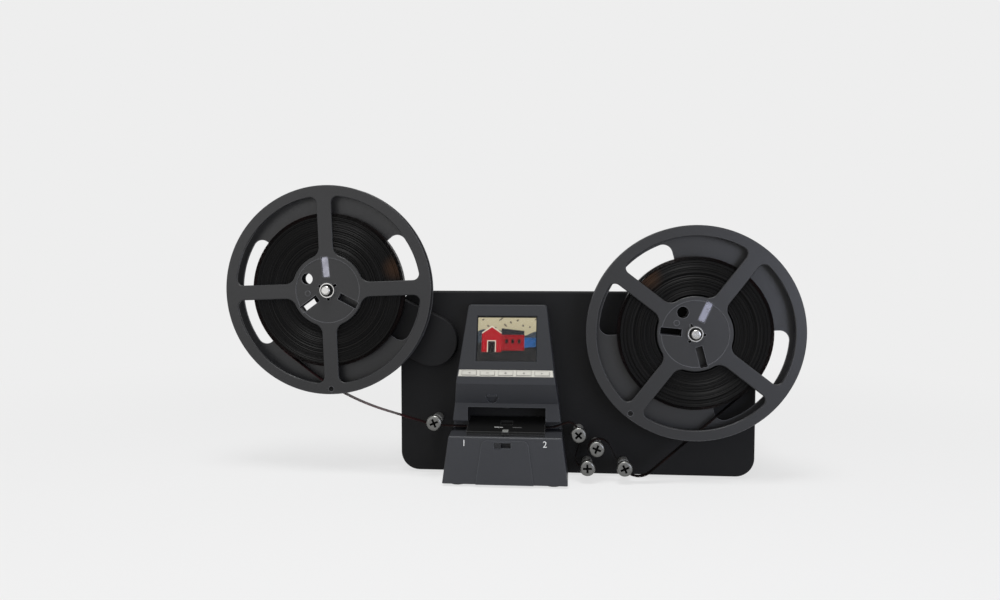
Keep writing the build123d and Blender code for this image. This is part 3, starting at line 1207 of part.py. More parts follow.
def takeup_bush():
    inner = SPINDLE_JOURNAL + RUN_CLEAR
    bush = ring(TAKEUP, inner + BUSH_WALL, inner, -FASCIA_THICK, 0)
    return bush + ring(TAKEUP, inner + BUSH_WALL + BUSH_FLANGE, inner, 0, BUSH_FLANGE_THICK)


def takeup_spindle():
    seat = BUSH_FLANGE_THICK + FACE_GAP
    return spindle_front(TAKEUP, seat) + disc(TAKEUP, SPINDLE_JOURNAL, GEAR_BACK, seat)


def spur_gear(spot, teeth, phase):
    """Straight-flanked spur gear seen from the front; phase turns it in tooth pitches."""
    pitch_radius = GEAR_MODULE * teeth / 2
    levels = (-TOOTH_DEDENDUM * GEAR_MODULE, TOOTH_ADDENDUM * GEAR_MODULE)
    half_tooth = pi * GEAR_MODULE / 4 - TOOTH_BACKLASH / 2
    points = []
    for number in range(teeth):
        middle = 2 * pi * (number + phase) / teeth
        for side, level in ((-1, levels[0]), (-1, levels[1]), (1, levels[1]), (1, levels[0])):
            radius = pitch_radius + level
            angle = middle + side * (half_tooth - level * tan(radians(PRESSURE_DEG))) / radius
            points.append((spot[0] + radius * cos(angle), spot[1] + radius * sin(angle)))
    return outline(points)


def takeup_gear():
    face = spur_gear(TAKEUP, GEAR_TEETH, 0.0) - Pos(*TAKEUP) * Circle(SPINDLE_JOURNAL + RUN_CLEAR / 2)
    gear = plate(face, GEAR_BACK, GEAR_FRONT)
    return gear + ring(TAKEUP, 2 * SPINDLE_JOURNAL, SPINDLE_JOURNAL + RUN_CLEAR / 2,
                       GEAR_FRONT, -FASCIA_THICK - FACE_GAP)


def takeup_pinion():
    face = spur_gear(PINION, PINION_TEETH, 0.5) - Pos(*PINION) * Circle(MOTOR_SHAFT_RADIUS + RUN_CLEAR / 2)
    return plate(face, GEAR_BACK, GEAR_FRONT)


def takeup_motor():
    back = BRACKET_FRONT - BRACKET_THICK
    motor = disc(PINION, TAKEUP_MOTOR_RADIUS, back - TAKEUP_MOTOR_LENGTH, back)
    motor = chamfer(motor.faces().sort_by(Axis.Y)[-1].edges(), CONSOLE_EDGE)
    return motor + disc(PINION, MOTOR_SHAFT_RADIUS, back, GEAR_FRONT)


def motor_bracket():
    """Plate behind the gears that carries the take-up motor, on two stand-offs from the fascia."""
    face = Pos(*PINION) * (RectangleRounded(BRACKET_WIDTH, BRACKET_HEIGHT, STANDOFF_RADIUS)
                           - Circle(MOTOR_SHAFT_RADIUS + RUN_CLEAR))
    bracket = plate(face, BRACKET_FRONT - BRACKET_THICK, BRACKET_FRONT)
    across, down = BRACKET_WIDTH / 2 - STANDOFF_INSET, BRACKET_HEIGHT / 2 - STANDOFF_INSET
    for side in (-1, 1):
        spot = (PINION[0] + side * across, PINION[1] - down)
        bracket += disc(spot, STANDOFF_RADIUS, BRACKET_FRONT, -FASCIA_THICK)
    return bracket


def roller_head_back():
    return FILM_FRONT + ROLLER_HEAD_GAP


def guide_roller(spot):
    """Turning sleeve: a wide foot, a rim behind the film and a groove under it."""
    rim_front = FILM_BACK - ROLLER_HEAD_GAP / 2
    sleeve = disc(spot, ROLLER_COLLAR, FACE_GAP, rim_front)
    sleeve += disc(spot, ROLLER_RIM, rim_front - ROLLER_RIM_THICK, rim_front)
    sleeve += disc(spot, ROLLER_GROOVE, rim_front, roller_head_back() - FACE_GAP)
    return sleeve - disc(spot, ROLLER_SCREW_RADIUS + ROLLER_BORE_CLEAR, FACE_GAP, roller_head_back())


def roller_screw(spot, cross_turn):
    """Pan-head screw with a cross recess that a guide roller turns on."""
    back = roller_head_back()
    head = disc(spot, ROLLER_HEAD_RADIUS, back, back + ROLLER_HEAD_THICK)
    head = fillet(head.faces().sort_by(Axis.Y)[0].edges(), ROLLER_HEAD_EDGE)
    for turn in (cross_turn, cross_turn + 90):
        bar = turned(spot, turn, Rectangle(CROSS_LENGTH, CROSS_WIDTH))
        head -= plate(bar, back + ROLLER_HEAD_THICK - CROSS_DEPTH, back + ROLLER_HEAD_THICK)
    return head + disc(spot, ROLLER_SCREW_RADIUS, -ROLLER_SCREW_BITE, back)


def all_parts():
    parts = {
        "front_fascia": front_fascia(),
        "rear_housing": rear_housing(),
        "case_screws": case_screws(),
        "rubber_feet": rubber_feet(),
        "console_shell": console_shell(),
        "screen_bezel": screen_bezel(),
        "screen_glass": screen_layer(-BEZEL_THICK - GLASS_THICK, -BEZEL_THICK),
        "screen_panel": screen_layer(-BEZEL_THICK - GLASS_THICK - PANEL_MODULE_THICK, -BEZEL_THICK - GLASS_THICK),
        "key_strip": key_strip(),
        "key_board": key_board(),
        "base_panel": base_panel(),
        "format_switch_knob": format_switch_knob(),
        "format_switch_body": format_switch_body(),
        "gate_bed": gate_bed(),
        "gate_hinge_pin": gate_hinge_pin(),
        "gate_cover": gate_cover(),
        "light_diffuser": light_diffuser(),
        "light_board": light_board(),
        "lens_barrel": lens_barrel(),
        "camera_board": camera_board(),
        "claw_lever": claw_lever(),
        "claw_cam": claw_cam(),
        "claw_motor": claw_motor(),
        "main_board": main_board(),
        "dc_jack": dc_jack(),
        "usb_socket": usb_socket(),
        "card_slot": card_slot(),
        "power_button": power_button(),
        "power_switch": power_switch(),
        "supply_arm": supply_arm(),
        "arm_pivot_bolt": arm_pivot_bolt(),
        "arm_friction_washer": arm_friction_washer(),
        "supply_spindle": supply_spindle(),
        "takeup_spindle": takeup_spindle(),
        "takeup_bush": takeup_bush(),
        "takeup_gear": takeup_gear(),
        "takeup_pinion": takeup_pinion(),
        "takeup_motor": takeup_motor(),
        "motor_bracket": motor_bracket(),
        "roller_screws": Compound([roller_screw(spot, CROSS_STEP_DEG * number)
                                   for number, spot in enumerate(roller_spots(), 1)]),
    }
    for number, x in enumerate(key_places(), 1):
        parts[f"key_{number}"] = key(x)
    for number, spot in enumerate(roller_spots(), 1):
        parts[f"guide_roller_{number}"] = guide_roller(spot)
    reels = (("supply", SUPPLY, SUPPLY_TURN_DEG, SUPPLY_TURN_DEG, SUPPLY_HUB_DEG, SUPPLY_PACK_RADIUS),
             ("takeup", TAKEUP, TAKEUP_TURN_DEG, TAKEUP_WINDOW_TURN_DEG, TAKEUP_HUB_DEG, TAKEUP_PACK_RADIUS))
    for name, spot, turn, window_turn, hub, pack in reels:
        parts[f"{name}_reel_back"] = reel_back(spot, turn, window_turn, hub)
        parts[f"{name}_reel_front"] = reel_front(spot, turn, hub)
        parts[f"{name}_reel_clip"] = reel_clip(spot, turn, hub)
        parts[f"{name}_film_pack"] = film_pack(spot, turn, pack)
    path = film_path()
    # the first run ends under the first roller, with its arc
    first = 4
    parts["film_supply_run"] = film_run(path[:first])
    parts["film_threaded_run"] = film_run(path[first:])
    return parts


os.makedirs("parts", exist_ok=True)
for node, shape in all_parts().items():
    export_step(shape, f"parts/{node}.step")
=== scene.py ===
from math import radians

import bpy
import numpy as np
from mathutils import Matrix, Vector


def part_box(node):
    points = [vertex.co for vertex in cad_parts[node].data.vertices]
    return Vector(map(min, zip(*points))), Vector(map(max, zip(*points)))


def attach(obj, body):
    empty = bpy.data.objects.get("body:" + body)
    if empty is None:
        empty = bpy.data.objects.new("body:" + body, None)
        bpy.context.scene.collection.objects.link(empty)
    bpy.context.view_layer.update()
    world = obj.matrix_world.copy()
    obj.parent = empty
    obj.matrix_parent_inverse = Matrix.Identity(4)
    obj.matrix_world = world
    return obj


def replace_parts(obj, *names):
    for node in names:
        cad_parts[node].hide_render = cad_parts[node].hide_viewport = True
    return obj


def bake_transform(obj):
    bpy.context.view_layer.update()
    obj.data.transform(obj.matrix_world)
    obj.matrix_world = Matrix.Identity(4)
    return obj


# Film reel digitizer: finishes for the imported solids, and the film, print and picture that go on them.
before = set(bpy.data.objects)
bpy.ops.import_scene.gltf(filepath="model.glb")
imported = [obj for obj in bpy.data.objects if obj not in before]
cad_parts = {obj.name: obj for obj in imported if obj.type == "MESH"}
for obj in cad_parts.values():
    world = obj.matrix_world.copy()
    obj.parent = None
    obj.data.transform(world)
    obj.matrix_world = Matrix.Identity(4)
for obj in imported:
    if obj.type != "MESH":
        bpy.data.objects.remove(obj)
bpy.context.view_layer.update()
MM = 0.001

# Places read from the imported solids, and the film's sizes. Reach is millimetres in front of the fascia.
FASCIA_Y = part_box("front_fascia")[0].y / MM


def middle(node):
    """Middle of a node seen from the front, as x and z in millimetres."""
    low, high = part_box(node)
    return np.array([low.x + high.x, low.z + high.z]) / 2 / MM


SUPPLY, TAKEUP = middle("supply_reel_front"), middle("takeup_reel_front")
ROLLERS = [middle(f"guide_roller_{number}") for number in range(1, 6)]
CONSOLE_X = middle("console_shell")[0]
FILM_BACK, FILM_FRONT, FILM_THICK = 15.0, 23.0, 0.15
ROLLER_PATH = 3.175
FILM_Z = ROLLERS[0][1] - ROLLER_PATH
PACK_INNER, SUPPLY_PACK, TAKEUP_PACK, PACK_GAP = 31.2, 65.6, 63.5, 0.3
LOOSE_TURNS, TURN_PITCH = 6, 0.45
HEAD_FRONT, DRIVE_RADIUS, DRIVE_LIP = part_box("roller_screws")[0].y / MM, 4.2, 0.35


# Finishes

def colour(code):
    """sRGB hex to the linear colour that the shader wants."""
    share = np.array([int(code[i:i + 2], 16) for i in (1, 3, 5)]) / 255
    linear = np.where(share <= 0.04045, share / 12.92, ((share + 0.055) / 1.055) ** 2.4)
    return (*linear, 1.0)


def add(tree, kind, inputs=None, **settings):
    """Adds a node with its settings; inputs maps a socket to a value or to the socket that feeds it."""
    made = tree.nodes.new(kind)
    for name, value in settings.items():
        setattr(made, name, value)
    for name, value in (inputs or {}).items():
        if isinstance(value, bpy.types.NodeSocket):
            tree.links.new(value, made.inputs[name])
        else:
            made.inputs[name].default_value = value
    return made


def finish(name, base, roughness, **sockets):
    """A material with one shader; sockets are named as on the shader, with underscores for spaces."""
    material = bpy.data.materials.new(name)
    material.use_nodes = True
    shader = material.node_tree.nodes["Principled BSDF"]
    shader.inputs["Base Color"].default_value = colour(base)
    shader.inputs["Roughness"].default_value = roughness
    for socket, value in sockets.items():
        shader.inputs[socket.replace("_", " ")].default_value = value
    return material, material.node_tree, shader


def bumped(tree, shader, height, depth_mm, strength):
    """Lets a height roughen the shader's face."""
    bump = add(tree, "ShaderNodeBump", {"Height": height, "Distance": depth_mm * MM, "Strength": strength})
    tree.links.new(bump.outputs["Normal"], shader.inputs["Normal"])


def blended(tree, share, first, second):
    """The colour between two, each a value or a socket, by a share from 0 to 1."""
    return add(tree, "ShaderNodeMix", {"Factor": share, 6: first, 7: second}, data_type="RGBA").outputs[2]


def moulded(name, base, roughness, grain_mm, depth_mm, shade, worn_and_lit, **sockets):
    """Spark-eroded plastic: the mould leaves an even grain that the gloss follows, the shade drifts a little
    over the piece, and its edges are paler, where the rounded normal leaves the face's own: a painted
    highlight along the edges, partly rubbed wear.
    Noise has about one bump per unit, so a grain of g mm needs a scale of 1000 / g on metres."""
    drift_scale, gloss_swing, pale_edge_mm = 22.0, 0.06, 1.2
    material, tree, shader = finish(name, base, roughness, **sockets)
    place = add(tree, "ShaderNodeTexCoord").outputs["Object"]
    grain = add(tree, "ShaderNodeTexNoise", {"Vector": place, "Scale": 1000 / grain_mm, "Detail": 2.0})
    drift = add(tree, "ShaderNodeTexNoise", {"Vector": place, "Scale": drift_scale, "Detail": 3.0})
    bumped(tree, shader, grain.outputs["Fac"], depth_mm, 0.6)
    gloss = add(tree, "ShaderNodeMapRange", {
        "Value": grain.outputs["Fac"], "From Min": 0.3, "From Max": 0.7,
        "To Min": roughness - gloss_swing, "To Max": roughness + gloss_swing})
    tree.links.new(gloss.outputs["Result"], shader.inputs["Roughness"])
    drifted = blended(tree, drift.outputs["Fac"], colour(base), colour(shade))
    # Painted highlight along rounded edges, partly rubbed wear: the colour turns to the edge colour where
    # the rounded normal leaves the face's own.
    rounded = add(tree, "ShaderNodeBevel", {"Radius": pale_edge_mm * MM}, samples=6)
    same_way = add(tree, "ShaderNodeVectorMath", {
        0: rounded.outputs["Normal"], 1: add(tree, "ShaderNodeNewGeometry").outputs["Normal"]},
        operation="DOT_PRODUCT")
    pale_edge_share = add(tree, "ShaderNodeMapRange", {
        "Value": same_way.outputs["Value"], "From Min": 0.8, "From Max": 0.98,
        "To Min": 1.0, "To Max": 0.0})
    edged = blended(tree, pale_edge_share.outputs["Result"], drifted, colour(worn_and_lit))
    tree.links.new(edged, shader.inputs["Base Color"])
    return material


def turned_metal(name, base, roughness, line_mm, spot):
    """Metal cut on a lathe: fine rings round the piece's own axis.
    The ring wave repeats every 2 pi / (20 * scale)."""
    groove_mm = 0.02
    material, tree, shader = finish(name, base, roughness, Metallic=1.0)
    place = add(tree, "ShaderNodeTexCoord").outputs["Object"]
    centred = add(tree, "ShaderNodeMapping", {
        "Vector": place, "Location": (-spot[0] * MM, 0, -spot[1] * MM)})
    rings = add(tree, "ShaderNodeTexWave", {
        "Vector": centred.outputs["Vector"], "Scale": 2 * np.pi / 20 / (line_mm * MM), "Distortion": 0.4},
        wave_type="RINGS", rings_direction="Y")
    bumped(tree, shader, rings.outputs["Fac"], groove_mm, 0.35)
    return material


def plated(name, base, recess_shade, roughness, cloud_mm, heads=()):
    """Plated or stamped steel: a cloudy gloss where the plating varies, and painted shade in its recesses.
    The cross drives of screw heads get painted shade where they lie below the face, near a head's axis."""
    cloud_depth_mm, recess_mm, smoother, rougher = 0.02, 2.0, 0.1, 0.12
    material, tree, shader = finish(name, base, roughness, Metallic=1.0)
    place = add(tree, "ShaderNodeTexCoord").outputs["Object"]
    cloud = add(tree, "ShaderNodeTexNoise", {"Vector": place, "Scale": 1000 / cloud_mm, "Detail": 4.0})
    gloss = add(tree, "ShaderNodeMapRange", {
        "Value": cloud.outputs["Fac"], "From Min": 0.35, "From Max": 0.65,
        "To Min": roughness - smoother, "To Max": roughness + rougher})
    tree.links.new(gloss.outputs["Result"], shader.inputs["Roughness"])
    bumped(tree, shader, cloud.outputs["Fac"], cloud_depth_mm, 0.3)
    # Painted shade: the colour darkens towards the shade colour where faces close by hide the recess.
    recess = add(tree, "ShaderNodeAmbientOcclusion", {"Distance": recess_mm * MM}, samples=8)
    unshaded = add(tree, "ShaderNodeMapRange", {
        "Value": recess.outputs["AO"], "From Min": 0.4, "From Max": 0.8}).outputs["Result"]
    flat = add(tree, "ShaderNodeMapping", {"Vector": place, "Scale": (1, 0, 1)}).outputs["Vector"]
    depth = add(tree, "ShaderNodeSeparateXYZ", {"Vector": place}).outputs["Y"]
    # Painted shade in the cross drives of the roller screws, below the face near each head's axis.
    for x, z in heads:
        away = add(tree, "ShaderNodeVectorMath", {0: flat, 1: (x * MM, 0, z * MM)}, operation="DISTANCE")
        outside = add(tree, "ShaderNodeMath", {0: away.outputs["Value"], 1: DRIVE_RADIUS * MM},
                      operation="GREATER_THAN")
        on_face = add(tree, "ShaderNodeMath", {0: depth, 1: (HEAD_FRONT + DRIVE_LIP) * MM},
                      operation="LESS_THAN")
        bare = add(tree, "ShaderNodeMath", {0: outside.outputs[0], 1: on_face.outputs[0]},
                   operation="MAXIMUM")
        unshaded = add(tree, "ShaderNodeMath", {0: unshaded, 1: bare.outputs[0]}, operation="MULTIPLY").outputs[0]
    tree.links.new(blended(tree, unshaded, colour(recess_shade), colour(base)), shader.inputs["Base Color"])
    return material


# Black ABS of the body: dull, with a fine grain that is drawn at 0.9 mm so that it shows.
BODY_BLACK = moulded("moulded_abs_black", "#0f0f10", 0.6, 0.9, 0.05, "#141415", "#242427",
                     Specular_IOR_Level=0.14)
# Grey ABS of the console: smoother, with a faint blue cast.
CONSOLE_GREY = moulded("moulded_abs_grey", "#303134", 0.38, 0.7, 0.02, "#343538", "#4c4e51",
                       Specular_IOR_Level=0.22)
# The same ABS, darker, for the screen's bezel.
BEZEL_GREY = moulded("moulded_abs_bezel", "#252628", 0.42, 0.7, 0.02, "#292a2d", "#3c3e42",
                     Specular_IOR_Level=0.2)
# Glass-filled black of the film gate: darker than the body, with a weak sheen.
GATE_BLACK = moulded("moulded_gate_black", "#0b0b0b", 0.5, 0.6, 0.02, "#0f0f0f", "#3a3a3a",
                     Specular_IOR_Level=0.15)
# Impact polystyrene of the reels: dark grey and waxy, with a clear moulded grain, and pale edges that are a
# painted highlight, partly rubbed wear.
REEL_GREY = moulded("moulded_reel_polystyrene", "#1b1b1c", 0.4, 1.1, 0.05, "#212122", "#5a5a5d",
                    Specular_IOR_Level=0.36)
# Inner mouldings and the small black fittings.
FITTING_BLACK = moulded("moulded_fitting_black", "#141416", 0.45, 0.5, 0.02, "#19191c", "#2c2c30",
                        Specular_IOR_Level=0.25)
# Silver lacquer on the key strip and the keys: metal flake under a satin coat.
SILVER_PAINT = moulded("silver_lacquer", "#97958d", 0.42, 0.35, 0.01, "#9f9d95", "#8b8982", Metallic=0.3)
# Rubber feet and keeper rings: dull and dark.
RUBBER = moulded("moulded_rubber", "#111111", 0.82, 0.8, 0.03, "#161616", "#1d1d1d", Specular_IOR_Level=0.2)
# Acetal gears and cam: off-white and waxy.
ACETAL = moulded("acetal", "#d0cbbf", 0.42, 0.7, 0.01, "#d8d4c9", "#dedad0")
# Lacquered circuit boards: green, with a faint grain from the glass cloth.
BOARD_GREEN = moulded("lacquered_board", "#1f5a34", 0.3, 0.6, 0.02, "#245f3a", "#6f7a45")
# Opal acrylic over the light.
OPAL = moulded("opal_acrylic", "#e4e2dc", 0.3, 0.8, 0.005, "#eae8e2", "#f0eee8")
# A dark matte sheet lining the film gate's niche as painted shade: a fine grain, with no gloss.
NICHE_SHADE = moulded("niche_shade_black", "#242424", 0.95, 0.3, 0.1, "#2c2c2c", "#2c2c2c", Specular_IOR_Level=0.02)
# Pan-head screws: zinc plate, dulled, with painted shade in the cross.
SCREW_STEEL = plated("zinc_plated_screw", "#6c6c6a", "#0c0c0c", 0.36, 3.0, ROLLERS)
# Case screws and brackets: the same plate without a drive to the front.
BRACKET_STEEL = plated("zinc_plated_bracket", "#868683", "#1a1a1a", 0.36, 3.0)
# Rollers and motor cans: ground steel, paler and duller than the screws.
ROLLER_STEEL = plated("ground_roller_steel", "#8e8e8c", "#5c5c5b", 0.5, 4.0)
# Reel clips, hinge pin, claw, pivot bolt and data socket: bright steel with a faint blue cast.
SPRING_STEEL = plated("bright_spring_steel", "#7f7f88", "#3e3e45", 0.28, 6.0)
# Bush: sintered bronze, brown and dull.
BUSH_BRONZE = plated("sintered_bronze", "#8a6c42", "#3a2d1c", 0.42, 0.8)
# Spindles: free-cutting steel, turned and chromed; the rings are drawn at 0.5 mm so that they show.
SUPPLY_CHROME = turned_metal("chromed_supply_spindle", "#a5a4a2", 0.2, 0.5, SUPPLY)
TAKEUP_CHROME = turned_metal("chromed_takeup_spindle", "#a5a4a2", 0.2, 0.5, TAKEUP)
# Printing inks of the plain signs: white on the base, pale and dim on the gate, grey on the keys.
INK_WHITE = moulded("printed_white_ink", "#d8d8d6", 0.6, 0.4, 0.005, "#d0d0ce", "#c6c6c4",
                    Specular_IOR_Level=0.2)
INK_PALE = moulded("printed_pale_ink", "#949492", 0.6, 0.4, 0.005, "#9c9c9a", "#848482",
                   Specular_IOR_Level=0.2)
INK_DIM = moulded("printed_dim_ink", "#464645", 0.6, 0.4, 0.005, "#4e4e4d", "#3c3c3b",
                  Specular_IOR_Level=0.2)
INK_KEY = moulded("printed_key_ink", "#76746f", 0.6, 0.4, 0.005, "#7e7c77", "#83817c",
                  Specular_IOR_Level=0.2)
# Pale moulding of the lifting tab.
TAB_GREY = moulded("moulded_tab_grey", "#6c6d6a", 0.5, 0.5, 0.01, "#757673", "#8a8b88",
                   Specular_IOR_Level=0.3)


def film_base(name, base, painted_light):
    """Developed film: a dark base, with patches about 26 mm wide of painted red-brown light, where light
    gets through.
    """
    patch_scale = 38.0
    material, tree, shader = finish(name, base, 0.4, IOR=1.48, Specular_IOR_Level=0.08)
    place = add(tree, "ShaderNodeTexCoord").outputs["Object"]
    patch = add(tree, "ShaderNodeTexNoise", {"Vector": place, "Scale": patch_scale, "Detail": 3.0})
    share = add(tree, "ShaderNodeMapRange", {
        "Value": patch.outputs["Fac"], "From Min": 0.4, "From Max": 0.65})
    lit_patches = blended(tree, share.outputs["Result"], colour(base), colour(painted_light))
    tree.links.new(lit_patches, shader.inputs["Base Color"])
    return material


def wound_edges(name, spot, glow):
    """Edges of wound film: near black, with uneven rings, and a painted brown highlight round one spot.
    Rings are noise along the distance from the axis; the highlight fades with the distance from its spot."""
    ring_mm, ring_depth_mm, highlight_near_mm, highlight_far_mm = 1.2, 0.3, 2.0, 14.0
    base, ring, brown = "#080808", "#1a1918", "#3c291b"
    material, tree, shader = finish(name, base, 0.45, IOR=1.48, Specular_IOR_Level=0.08)
    place = add(tree, "ShaderNodeTexCoord").outputs["Object"]
    flat = add(tree, "ShaderNodeMapping", {
        "Vector": place, "Location": (-spot[0] * MM, 0, -spot[1] * MM),
        "Scale": (1, 0, 1)}).outputs["Vector"]
    radius = add(tree, "ShaderNodeVectorMath", {0: flat}, operation="LENGTH").outputs["Value"]
    rings = add(tree, "ShaderNodeTexNoise", {"W": radius, "Scale": 1000 / ring_mm, "Detail": 3.0},
                noise_dimensions="1D")
    strength = add(tree, "ShaderNodeMapRange", {
        "Value": rings.outputs["Fac"], "From Min": 0.45, "From Max": 0.75})
    ringed = blended(tree, strength.outputs["Result"], colour(base), colour(ring))
    # Painted brown highlight round a spot on the pack, fading with the distance from it.
    away = add(tree, "ShaderNodeVectorMath", {0: flat, 1: (glow[0] * MM, 0, glow[1] * MM)},
               operation="DISTANCE")
    highlight_share = add(tree, "ShaderNodeMapRange", {
        "Value": away.outputs["Value"], "From Min": highlight_near_mm * MM, "From Max": highlight_far_mm * MM,
        "To Min": 0.55, "To Max": 0.0}, interpolation_type="SMOOTHSTEP")
    lit = blended(tree, highlight_share.outputs["Result"], ringed, colour(brown))
    tree.links.new(lit, shader.inputs["Base Color"])
    bumped(tree, shader, rings.outputs["Fac"], ring_depth_mm, 0.5)
    return material


# Film in the gate and on the reels is black; the run from the supply reel is a lit copy of it, painted
# red-brown for the light that gets through.
FILM = film_base("developed_film", "#0b0909", "#180e0d")
FILM_RUN_LIT = film_base("developed_film_run_lit", "#1c0f10", "#36171a")


def coated_glass():
    """Anti-reflection coated glass over the screen: clear, smooth and hardly seen, so its IOR is low."""
    return finish("screen_coated_glass", "#f6f8f8", 0.02, IOR=1.12, Transmission_Weight=1.0)[0]


def lit_picture():
    """The picture panel: black, with its own light from the colours stored on its points."""
    material, tree, shader = finish("screen_picture_panel", "#060606", 0.4, Specular_IOR_Level=0.1)
    picture = add(tree, "ShaderNodeAttribute", attribute_name="picture")
    tree.links.new(picture.outputs["Color"], shader.inputs["Emission Color"])
    shader.inputs["Emission Strength"].default_value = 1.0
    return material


GLASS, PICTURE = coated_glass(), lit_picture()

FINISHES = {
    BODY_BLACK: ["front_fascia", "rear_housing", "supply_arm"],
    CONSOLE_GREY: ["console_shell", "base_panel"],
    BEZEL_GREY: ["screen_bezel"],
    GATE_BLACK: ["gate_bed", "gate_cover", "lens_barrel"],
    REEL_GREY: ["supply_reel_back", "supply_reel_front", "takeup_reel_back", "takeup_reel_front"],
    FITTING_BLACK: ["format_switch_body", "format_switch_knob", "dc_jack", "card_slot", "power_button",
                    "power_switch", "arm_friction_washer"],
    SILVER_PAINT: ["key_strip"] + [f"key_{number}" for number in range(1, 6)],
    RUBBER: ["rubber_feet"],
    ACETAL: ["takeup_gear", "takeup_pinion", "claw_cam"],
    BOARD_GREEN: ["key_board", "light_board", "camera_board", "main_board"],
    OPAL: ["light_diffuser"],
    SCREW_STEEL: ["roller_screws"],
    BRACKET_STEEL: ["case_screws", "motor_bracket"],
    ROLLER_STEEL: ["claw_motor", "takeup_motor"] + [f"guide_roller_{number}" for number in range(1, 6)],
    SPRING_STEEL: ["supply_reel_clip", "takeup_reel_clip", "claw_lever", "gate_hinge_pin", "arm_pivot_bolt",
                   "usb_socket"],
    BUSH_BRONZE: ["takeup_bush"],
    SUPPLY_CHROME: ["supply_spindle"],
    TAKEUP_CHROME: ["takeup_spindle"],
    GLASS: ["screen_glass"],
}
for material, names in FINISHES.items():
    for name in names:
        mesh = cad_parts[name].data
        mesh.materials.clear()
        mesh.materials.append(material)


# Surfaces

def in_row(x, reach, z):
    """Points in the shared frame, in metres, from x, reach and z in millimetres."""
    x, reach, z = np.broadcast_arrays(x, reach, z)
    return np.stack([x, FASCIA_Y - reach, z], axis=-1) * MM


def piece(name, points, faces, material, smooth=True):
    """A mesh object at the origin, from an array of points and a list of faces, with its material slot."""
    mesh = bpy.data.meshes.new(name)
    mesh.from_pydata(np.reshape(points, (-1, 3)).tolist(), [], faces)
    mesh.polygons.foreach_set("use_smooth", np.full(len(mesh.polygons), smooth))
    mesh.materials.append(material)
    mesh.update()
    made = bpy.data.objects.new(name, mesh)
    bpy.context.scene.collection.objects.link(made)
    return made


def grid_faces(rows, columns, wrap_rows=False, wrap_columns=False):
    """Corner numbers of the quads of a grid of points, closed on itself where asked."""
    i = np.arange(rows if wrap_rows else rows - 1)[:, None]
    k = np.arange(columns if wrap_columns else columns - 1)[None, :]
    next_i, next_k = (i + 1) % rows, (k + 1) % columns
    corners = [i * columns + k, i * columns + next_k, next_i * columns + next_k, next_i * columns + k]
    return np.stack(np.broadcast_arrays(*corners), axis=-1).reshape(-1, 4)


def lathe(name, spot, profile, material, steps):
    """A closed profile of (radius, reach) points carried round an axis that faces the viewer:
    x = spot x + r cos a, z = spot z + r sin a."""
    radius, reach = np.asarray(profile, float).T
    angle = np.linspace(0, 2 * np.pi, steps, endpoint=False)[:, None]
    points = in_row(spot[0] + radius * np.cos(angle), reach, spot[1] + radius * np.sin(angle))
    return piece(name, points, grid_faces(steps, len(radius), True, True).tolist(), material)


def arc_points(centre, radius, start, sweep):
    """Points on an arc about every degree, from its start angle over its sweep."""
    angle = np.radians(np.linspace(start, start + sweep, max(2, int(abs(sweep)) + 1)))
    return np.stack([centre[0] + radius * np.cos(angle), centre[1] + radius * np.sin(angle)], axis=-1)


def film_line(stops):
    """The film's line round circles (x, z, radius, way), from the first touch to the last: a straight run
    touches each two neighbours, and an arc goes round each circle between them.
    Heading = bearing - asin(difference of signed radii / distance)."""
    stops = np.asarray(stops, float)
    centre, signed = stops[:, :2], stops[:, 2] * stops[:, 3]
    step = centre[1:] - centre[:-1]
    heading = np.arctan2(step[:, 1], step[:, 0]) - np.arcsin(np.diff(signed) / np.hypot(*step.T))
    side = np.stack([np.sin(heading), -np.cos(heading)], axis=-1)
    start, end = centre[:-1] + signed[:-1, None] * side, centre[1:] + signed[1:, None] * side
    heading = np.degrees(heading)
    line = [start[:1]]
    for number, way in enumerate(stops[1:-1, 3]):
        bend = way * ((way * (heading[number + 1] - heading[number])) % 360)
        line.append(arc_points(centre[number + 1], stops[number + 1, 2], heading[number] - 90 * way, bend))
    return np.concatenate(line + [end[-1:]])


def film_band(name, line, material=FILM):
    """8 mm film along a line: a strip on edge, with a row of sprocket holes near its front edge.
    The line is divided evenly, five steps to a picture, and one step of each five leaves the hole open."""
    picture_mm, steps, hole_back, hole_front = 4.23, 5, 1.95, 0.8
    walked = np.concatenate([[0], np.cumsum(np.hypot(*np.diff(line, axis=0).T))])
    rows = int(walked[-1] / picture_mm * steps)
    along = np.linspace(0, walked[-1], rows)
    x, z = (np.interp(along, walked, line[:, axis])[:, None] for axis in (0, 1))
    across = np.array([FILM_BACK, FILM_FRONT - hole_back, FILM_FRONT - hole_front, FILM_FRONT])
    faces = grid_faces(rows, len(across))
    row, column = np.divmod(np.arange(len(faces)), len(across) - 1)
    hole = (column == 1) & (row % steps == 0)
    band = piece(name, in_row(x, across, z), faces[~hole].tolist(), material)
    wall = band.modifiers.new("thickness", "SOLIDIFY")
    wall.thickness, wall.offset = FILM_THICK * MM, 0
    return band


# The threaded film

def from_gate(x, z, radius, way):
    """A circle of the film's line, placed from the middle of the gate."""
    return (CONSOLE_X + x, FILM_Z + z, radius, way)


def round_roller(number, way):
    """The circle of the film's line round a guide roller."""
    return (*ROLLERS[number - 1], ROLLER_PATH, way)


def sag_stop():
    """Circle of the sag, where two circles cross: one round the supply reel and one round the first roller,
    so far out that the straight runs at the sag's ends keep their lengths."""
    radius, lead, tail = 200.0, 27.5, 43.7
    step = ROLLERS[0] - SUPPLY
    span = np.hypot(*step)
    from_reel = np.hypot(radius - SUPPLY_PACK - PACK_GAP, lead)
    from_roller = np.hypot(radius - ROLLER_PATH, tail)
    along = (span ** 2 + from_reel ** 2 - from_roller ** 2) / (2 * span)
    aside = np.sqrt(from_reel ** 2 - along ** 2)
    return (*(SUPPLY + (along * step + aside * np.array([-step[1], step[0]])) / span), radius, 1)


